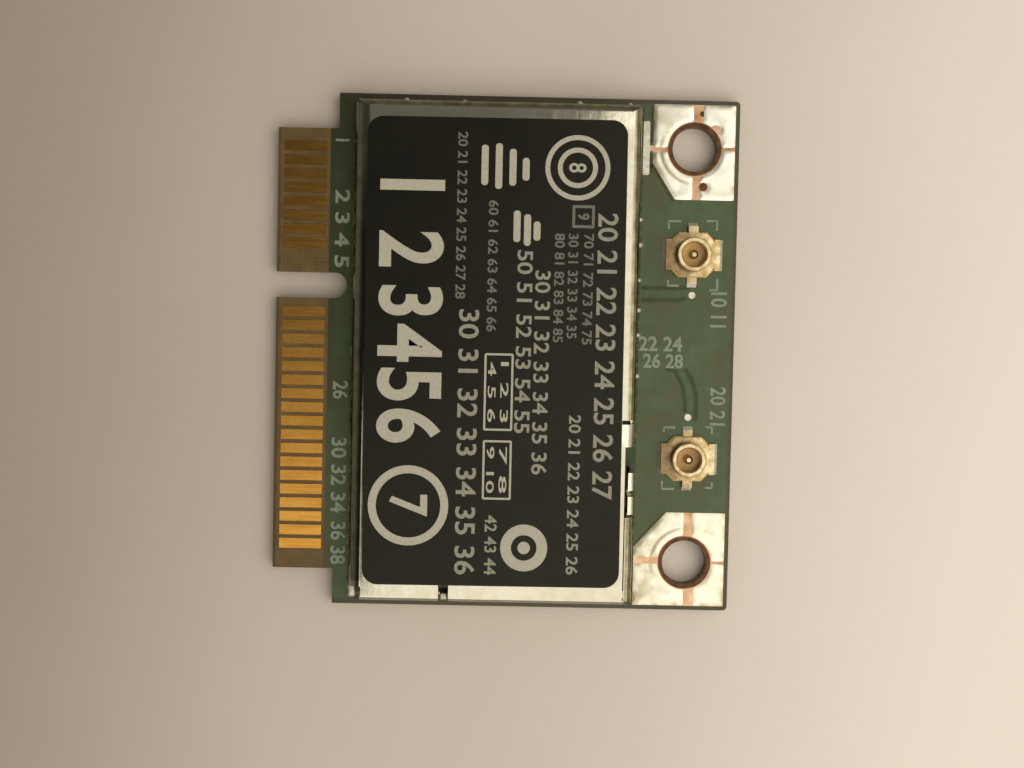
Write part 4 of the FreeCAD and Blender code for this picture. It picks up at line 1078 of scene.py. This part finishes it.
def lump_mesh():
    """One fillet, 1 mm long along X, reaching 1 mm out along Y and 1 mm up."""
    shapes = bmesh.new()
    quarter = [math.pi / 2 * step / LUMP_STEPS for step in range(LUMP_STEPS + 1)]
    rows = []
    for i in range(1, LUMP_ROWS):
        length = math.pi * i / LUMP_ROWS
        x, swell = -0.5 * math.cos(length), math.sin(length) ** FLOW
        row = [(x, swell * math.cos(a), swell * math.sin(a)) for a in quarter] + [(x, 0.0, 0.0)]
        rows.append([shapes.verts.new(place) for place in row])
    join_rings(shapes, rows)
    for end, row in ((-0.5, rows[0]), (0.5, rows[-1])):
        tip = shapes.verts.new((end, 0.0, 0.0))
        for first, second in zip(row, row[1:] + row[:1]):
            shapes.faces.new((tip, first, second))
    bmesh.ops.recalc_face_normals(shapes, faces=shapes.faces)
    mesh = bpy.data.meshes.new("lump")
    shapes.to_mesh(mesh)
    shapes.free()
    mesh.transform(Matrix.Scale(MM, 4))
    return mesh


def fillet_tree():
    """Puts a lump on every point, turned and scaled by the point's values."""
    tree = new_tree("fillets", {"Lump": ("Object", None), "Uneven": ("Float", 0.2),
                                "Seed": ("Int", 3), "Material": ("Material", None)})
    start = add_node(tree, "NodeGroupInput")
    lump = add_node(tree, "GeometryNodeObjectInfo", {"Object": start.outputs["Lump"]})
    size, turn = [add_node(tree, "GeometryNodeInputNamedAttribute", values={"Name": name},
                           data_type="FLOAT_VECTOR").outputs["Attribute"]
                  for name in ("size", "turn")]
    low = add_node(tree, "ShaderNodeMath", {1: start.outputs["Uneven"]}, {0: 1.0},
                   operation="SUBTRACT")
    vary = add_node(tree, "FunctionNodeRandomValue",
                    {"Seed": start.outputs["Seed"], 2: low.outputs[0]}, {3: 1.0},
                    data_type="FLOAT")
    scale = add_node(tree, "ShaderNodeVectorMath", {0: size, 3: vary.outputs[1]},
                     operation="SCALE")
    placed = add_node(tree, "GeometryNodeInstanceOnPoints",
                      {"Points": start.outputs["Geometry"], "Instance": lump.outputs["Geometry"],
                       "Rotation": turn, "Scale": scale.outputs["Vector"]})
    close_tree(tree, start, placed.outputs["Instances"])
    return tree


RIGHTWARD, LEFTWARD, UPWARD, DOWNWARD = -math.pi / 2, math.pi / 2, 0.0, math.pi
SPREAD = 1.12


def fillet_points(node):
    """A point at the foot of each island of a node, with its size and turn."""
    middle_of_can = (np.array(lid_low) + lid_high) / 2
    points, sizes, turns = [], [], []
    for low, high in islands(node):
        middle, span = (low + high) / 2, high - low
        out = middle - middle_of_can
        if out[0] > 7.0 and WINDOW[0] - 0.4 < middle[1] < CLIP[1]:
            continue
        if span[0] > span[1]:
            foot, turn = (low[1], UPWARD) if out[1] > 0 else (high[1], DOWNWARD)
            points.append((middle[0], foot, low[2]))
            sizes.append((span[0] * SPREAD, span[1], span[2]))
        else:
            foot, turn = (low[0], RIGHTWARD) if out[0] > 0 else (high[0], LEFTWARD)
            points.append((foot, middle[1], low[2]))
            sizes.append((span[1] * SPREAD, span[0], span[2]))
        turns.append((0.0, 0.0, turn))
    return point_mesh(points, size=sizes, turn=turns)


lump = bpy.data.objects.new("lump", lump_mesh())
bpy.context.scene.collection.objects.link(lump)
fillets = fillet_tree()
melt = {"Lump": lump, "Material": finishes["solder"].material}
seed = fillet_points("shield_solder")
mesh = grow(fillets, seed, {**melt, "Uneven": 0.25, "Seed": 11})
fillet_piece = finish_piece("can_fillets", mesh, "solder", smooth=60, replaced=["shield_solder"])
print(fillet_piece.name, len(seed.vertices), "fillets,", len(mesh.polygons), "faces")

# %% stray blobs of solder
BOARD_TOP = 1.0
BLOB_SIZE = (0.38, 0.36, 0.34)
BLOBS = [(LID_RIGHT, y, RIGHTWARD) for y in (7.93, 6.47, 4.43, 2.69, 1.22, -1.18)]
BLOBS += [(x, LID_END, UPWARD) for x in (-5.97, -2.61, 4.07, 7.0)]
BLOBS += [(x, -LID_END, DOWNWARD) for x in (-7.2, 2.4)]
seed = point_mesh([(x, y, BOARD_TOP) for x, y, _ in BLOBS], size=[BLOB_SIZE] * len(BLOBS),
                  turn=[(0.0, 0.0, turn) for *_, turn in BLOBS])
mesh = grow(fillets, seed, {**melt, "Uneven": 0.35, "Seed": 5})
blob_piece = finish_piece("can_blobs", mesh, "solder", finish="dull_solder", smooth=60)
print(blob_piece.name, len(BLOBS), "blobs")

# %% [markdown]
# ## Print on the label
# The real label carries rows of print that run down the card. None of it is copied: plain
# counting numbers stand where lines were, in the same sizes and the same cream inks, and the
# large marks are single digits, rings and bars. Print is a film of ink with letter shapes, so
# each line is a text curve that is extruded a little, made a plain mesh, and then stretched
# to the height and the length that the line has on the label.

# %% numbers
NARROW = 0.86


def count_line(first, room):
    """Counting numbers from first on, for as long as they fit in that many letters."""
    line = str(first)
    while len(line) + 1 + len(str(first + 1)) <= room:
        first += 1
        line += " " + str(first)
    return line


def add_numbers(shapes, body, place, height, low, high, length=None, bold=0.0, steps=3,
                down=True):
    """Numbers centred on a place. They read along -Y with tops towards +X, or else along X."""
    curve = bpy.data.curves.new("numbers", "FONT")
    curve.body = body
    curve.resolution_u = steps
    curve.extrude = 0.5
    curve.offset = bold
    source = bpy.data.objects.new("numbers", curve)
    bpy.context.scene.collection.objects.link(source)
    graph = bpy.context.evaluated_depsgraph_get()
    mesh = bpy.data.meshes.new_from_object(source.evaluated_get(graph), depsgraph=graph)
    bpy.data.objects.remove(source)
    spots = np.array([vert.co for vert in mesh.vertices])
    least, span = spots.min(axis=0), np.ptp(spots, axis=0)
    length = length or height * span[0] / span[1] * NARROW
    for vert, (u, v, w) in zip(mesh.vertices, (spots - least) / span - 0.5):
        along, across = (v * height, -u * length) if down else (u * length, v * height)
        vert.co = (place[0] + along, place[1] + across, high if w > 0 else low)
    part = bmesh.new()
    part.from_mesh(mesh)
    bmesh.ops.remove_doubles(part, verts=part.verts, dist=1e-5)
    part.to_mesh(mesh)
    part.free()
    shapes.from_mesh(mesh)


print(count_line(1, 24))

# %% label rows
LABEL_TOP = box_mm("shield_label")[1][2]
INK = (LABEL_TOP, LABEL_TOP + 0.004)
LETTER_WIDTH = 0.60
ROWS = {
    "fine": (0.58, 0.018, "label_fine", (
        (-2.62, 12.60, 3.10, 20), (-0.80, 8.75, 1.25, 60), (3.02, 6.95, 0.72, 80),
        (3.80, 6.95, 0.95, 30), (4.68, 6.95, 0.62, 70))),
    "small": (0.70, 0.018, "label_middle", ((4.12, -3.44, -12.67, 20), (-0.60, -9.31, -12.77, 42))),
    "middle": (0.90, 0.016, "label_middle", ((2.10, 4.80, -6.91, 30), (1.06, 5.95, -4.55, 50))),
    "large": (1.18, 0.016, "label_middle", ((5.76, 8.15, -8.29, 20), (-2.08, 2.50, -12.79, 30))),
}
for size, (height, bold, finish, rows) in ROWS.items():
    shapes = bmesh.new()
    for x, start, end, first in rows:
        line = count_line(first, round((start - end) / height / LETTER_WIDTH))
        add_numbers(shapes, line, (x, (start + end) / 2), height, *INK, length=start - end,
                    bold=bold)
    piece = bmesh_piece("label_rows_" + size, shapes, "label_film", finish=finish)
    print(piece.name, len(piece.data.polygons), "faces")

# %% label marks
def add_frame(shapes, x0, x1, y0, y1, radius, line, low, high):
    """The outline of a rounded box, drawn with a line inside its edge."""
    radius = min(radius, (x1 - x0) / 2 - 0.01, (y1 - y0) / 2 - 0.01)
    outer = rounded_box(x0, x1, y0, y1, radius)
    inner = rounded_box(x0 + line, x1 - line, y0 + line, y1 - line, max(radius - line, 0.02))
    add_band(shapes, outer, inner, low, high)


def add_ring(shapes, x, y, radius, line):
    """A plain ring of ink."""
    add_band(shapes, circle(x, y, radius), circle(x, y, radius - line), *INK)


BOLD, CURVE_STEPS = 0.022, 8
marks = bmesh.new()
for number, y in zip("123456", (9.53, 5.88, 2.93, 0.51, -1.87, -4.25)):
    add_numbers(marks, number, (-5.45, y), 3.7, *INK, bold=BOLD, steps=CURVE_STEPS)
add_numbers(marks, "7", (-5.38, -8.84), 2.2, *INK, bold=BOLD, steps=CURVE_STEPS)
add_numbers(marks, "8", (3.95, 10.70), 1.0, *INK, bold=0.01)
for x, y, radius, line in ((-5.38, -8.84, 2.32, 0.46), (3.95, 10.70, 1.86, 0.28),
                           (3.95, 10.70, 1.15, 0.28), (1.33, -11.17, 1.36, 0.62)):
    add_ring(marks, x, y, radius, line)
add_prism(marks, circle(1.33, -11.17, 0.36), *INK)
for y0, y1, numbers in ((-4.43, 0.02, ("1 2 3", "4 5 6")), (-8.41, -4.98, ("7 8", "9 10"))):
    add_frame(marks, -1.15, 0.52, y0, y1, 0.12, 0.12, *INK)
    for x, line in zip((0.02, -0.70), numbers):
        add_numbers(marks, line, (x, (y0 + y1) / 2), 0.46, *INK, length=(y1 - y0) * 0.78,
                    bold=0.01)
BARS = ((-1.35, 9.6, 11.9), (-0.55, 9.4, 12.0), (0.25, 9.6, 11.7), (1.0, 9.9, 11.2),
        (0.55, 6.4, 8.2), (1.15, 6.2, 8.0), (1.7, 6.5, 7.6))
for x, y0, y1 in BARS:
    add_prism(marks, rounded_box(x - 0.2, x + 0.2, y0, y1, 0.18), *INK)
mark_piece = bmesh_piece("label_marks", marks, "label_film", finish="label_ink")
print(mark_piece.name, len(mark_piece.data.polygons), "faces")
patch = bmesh.new()
add_frame(patch, 3.70, 4.98, 7.28, 8.58, 0.06, 0.16, *INK)
add_numbers(patch, "9", (4.34, 7.93), 0.7, *INK, bold=0.03)
patch_piece = bmesh_piece("label_patch", patch, "label_film", finish="label_fine")
print(patch_piece.name, len(patch_piece.data.polygons), "faces")

# %% [markdown]
# ## Legend and tracks on the board
# White legend ink marks the jacks' corners, and plain counting numbers stand where the board
# has its own marks. Tracks are copper under the lacquer: they show as a slightly lighter band
# between two darker gaps where the copper is etched away. A dark patch of lacquer in the can's
# window is painted shade. Each is a film a few micrometres thick, built as flat strips.

# %% legend
MASK_TOP = box_mm("solder_mask_top")[1][2]
LEGEND = (MASK_TOP - 0.001, MASK_TOP + 0.006)
STROKE = 0.13
JACK_CORNERS = (
    ((10.13, 7.91), (9.42, 7.91), (9.42, 7.46)), ((11.63, 7.96), (12.23, 7.96), (12.23, 7.39)),
    ((9.45, 4.47), (9.45, 4.15), (10.10, 4.15)), ((11.90, 3.94), (12.33, 3.94), (12.33, 4.59)),
    ((9.44, -4.41), (9.44, -4.15), (10.09, -4.15)),
    ((11.90, -4.10), (12.25, -4.10), (12.25, -4.48)),
    ((9.40, -7.31), (9.40, -7.77), (10.12, -7.77)),
    ((11.93, -7.66), (12.33, -7.66), (12.33, -7.32)),
)
DOWN_LINES = (
    ("1", -9.66, 12.17, 0.80, None), ("2 3 4 5", -9.60, 7.05, 0.86, 4.5),
    ("26", -9.55, -2.35, 0.90, 1.05), ("30 32 34", -9.58, -7.35, 0.90, 4.4),
    ("36 38", -9.55, -11.35, 0.90, 2.5), ("10 11", 12.46, 2.79, 0.95, 2.05),
    ("20 21", 12.56, -2.86, 0.92, 2.25),
)
ACROSS_LINES = (("22 24", 9.10, 0.74, 0.86, 2.55), ("26 28", 9.28, -0.26, 0.86, 2.35))
legend = bmesh.new()
for line in JACK_CORNERS:
    add_strip(legend, line, STROKE, *LEGEND)
for lines, down, bold in ((DOWN_LINES, True, 0.02), (ACROSS_LINES, False, 0.025)):
    for body, x, y, height, length in lines:
        add_numbers(legend, body, (x, y), height, *LEGEND, length=length, bold=bold, down=down)
bmesh.ops.recalc_face_normals(legend, faces=legend.faces)
legend_piece = bmesh_piece("board_legend", legend, "solder_mask", finish="legend_ink")
print(legend_piece.name, len(legend_piece.data.polygons), "faces")

# %% tracks
TRACK_LOW = MASK_TOP - 0.001
GAP, TRACK = MASK_TOP + 0.003, MASK_TOP + 0.002
SHADE_PATCH_TOP = 1.012
GAP_AND_SHADE_LINES = (
    (0.26, GAP, (7.90, 3.97), (10.2, 4.02), (10.70, 4.05)),
    (0.26, GAP, (7.90, 3.27), (10.2, 3.30), (10.45, 3.45)),
    (0.26, GAP, (9.46, -0.67), (10.05, -0.89), (10.43, -1.64), (10.60, -2.52), (10.64, -3.25)),
    (0.26, GAP, (10.58, -0.70), (11.00, -1.34), (11.26, -2.21), (11.29, -3.09), (11.24, -3.74)),
    (0.15, GAP, (8.29, 12.45), (8.29, 14.55)),
    (0.15, GAP, (8.29, 10.65), (8.29, 11.75)),
    (0.16, GAP, (8.33, 11.15), (9.64, 9.06)),
    (0.10, GAP, (7.76, -11.15), (9.62, -9.07)),
    # painted shade: a dark lacquer patch in the can's window, standing for the shade over the track
    # there
    (0.62, SHADE_PATCH_TOP, (7.50, -5.3), (7.50, -6.36)),
)
TRACK_LINES = (
    (0.40, TRACK, (7.90, 3.62), (10.60, 3.67)),
    (0.34, TRACK, (10.0, -0.70), (10.55, -1.20), (10.88, -2.10), (10.96, -3.0), (10.94, -3.30)),
)
for name, lines, finish in (("track_gaps", GAP_AND_SHADE_LINES, "gap_lacquer"),
                            ("tracks", TRACK_LINES, "track_lacquer")):
    shapes = bmesh.new()
    for width, high, *line in lines:
        add_strip(shapes, line, width, TRACK_LOW, high)
    bmesh.ops.recalc_face_normals(shapes, faces=shapes.faces)
    piece = bmesh_piece(name, shapes, "solder_mask", finish=finish)
    print(piece.name, len(lines), "strips")

# %% brown and tinned spots
SUNK = BOARD_TOP - 0.002
BROWN_SPOTS = ((11.23, 14.14, 0.16), (11.35, 9.92, 0.24), (8.52, 13.55, 0.20), (11.5, -10.0, 0.12))
# the second ring lines the hole's wall with brown oxide, kept dark as painted shade inside the hole
# as well
BROWN_RINGS = ((1.548, 1.335, 0.962, 0.992), (1.34, 1.302, 0.03, 0.99))
oxide = bmesh.new()
for hole in ((HOLE[0], HOLE[1]), (HOLE[0], -HOLE[1])):
    for outer, inner, low, high in BROWN_RINGS:
        add_band(oxide, circle(*hole, outer), circle(*hole, inner), low, high)
for x, y, radius in BROWN_SPOTS:
    add_prism(oxide, circle(x, y, radius, 20), SUNK, BOARD_TOP + 0.004)
oxide_piece = bmesh_piece("brown_spots", oxide, "copper", finish="oxide")
print(oxide_piece.name, len(oxide_piece.data.polygons), "faces")
tin = bmesh.new()
add_prism(tin, rounded_box(7.81, 8.19, 10.54, 13.66, 0.12), SUNK, BOARD_TOP + 0.02)
for x, y in ((10.87, 3.61), (10.82, -3.54)):
    add_prism(tin, circle(x, y, 0.20, 24), BOARD_TOP - 0.012, BOARD_TOP + 0.01)
add_bead(tin, -8.88, -8.44, -14.42, -13.68, SUNK, 1.55)
add_bead(tin, -3.51, -3.03, -14.42, -13.98, SUNK, 1.95)
tin_piece = bmesh_piece("tinned_spots", tin, "solder", finish="dull_solder", smooth=40)
print(tin_piece.name, len(tin_piece.data.polygons), "faces")

# %% [markdown]
# ## Floor and close
# A plain pale floor stands in for the table. It is a little darker on the left, where the
# light falls off, and that fade is painted on as painted shade, so the light on the card stays
# even.

# %% floor
def floor_finish():
    """Pale matt board with a painted light fade: lighter from left to right, and a little from top
    to bottom.
    """
    paper = Finish("pale_table", (0.6, 0.52, 0.42), 0.75)
    # painted light: the fade across the floor stands for the lamp's light falling off to the left
    across = paper.plus(paper.times(paper.axis("X"), 1.0 / 70.0), 0.5)
    slope = paper.less(across, paper.times(paper.axis("Y"), 1.0 / 450.0))
    cloud = paper.times(paper.less(paper.noise(22.0, 3.0), 0.5), 0.12)
    drift = paper.sums("ADD", slope, cloud, clamp=True)
    paper.set("Base Color", paper.ramp(drift, [
        (0.0, (0.38, 0.305, 0.24)), (0.5, (0.65, 0.565, 0.46)), (1.0, (0.92, 0.82, 0.70))]))
    paper.emboss(paper.noise(0.6, 4.0, 0.6), 0.01)
    return paper


FLOOR_HALF = 1500.0
corners = [(x * FLOOR_HALF * MM, y * FLOOR_HALF * MM, 0.0)
           for x, y in ((-1, -1), (1, -1), (1, 1), (-1, 1))]
floor_mesh = bpy.data.meshes.new("floor")
floor_mesh.from_pydata(corners, [], [(0, 1, 2, 3)])
floor_mesh.materials.append(floor_finish().material)
floor = bpy.data.objects.new("floor", floor_mesh)
bpy.context.scene.collection.objects.link(floor)
floor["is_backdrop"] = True
bpy.data.objects.remove(lump)
print("floor", 2 * FLOOR_HALF, "mm wide")

# %% sizes
low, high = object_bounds()
print("visual size", [round((b - a) / MM, 2) for a, b in zip(low, high)], "mm")
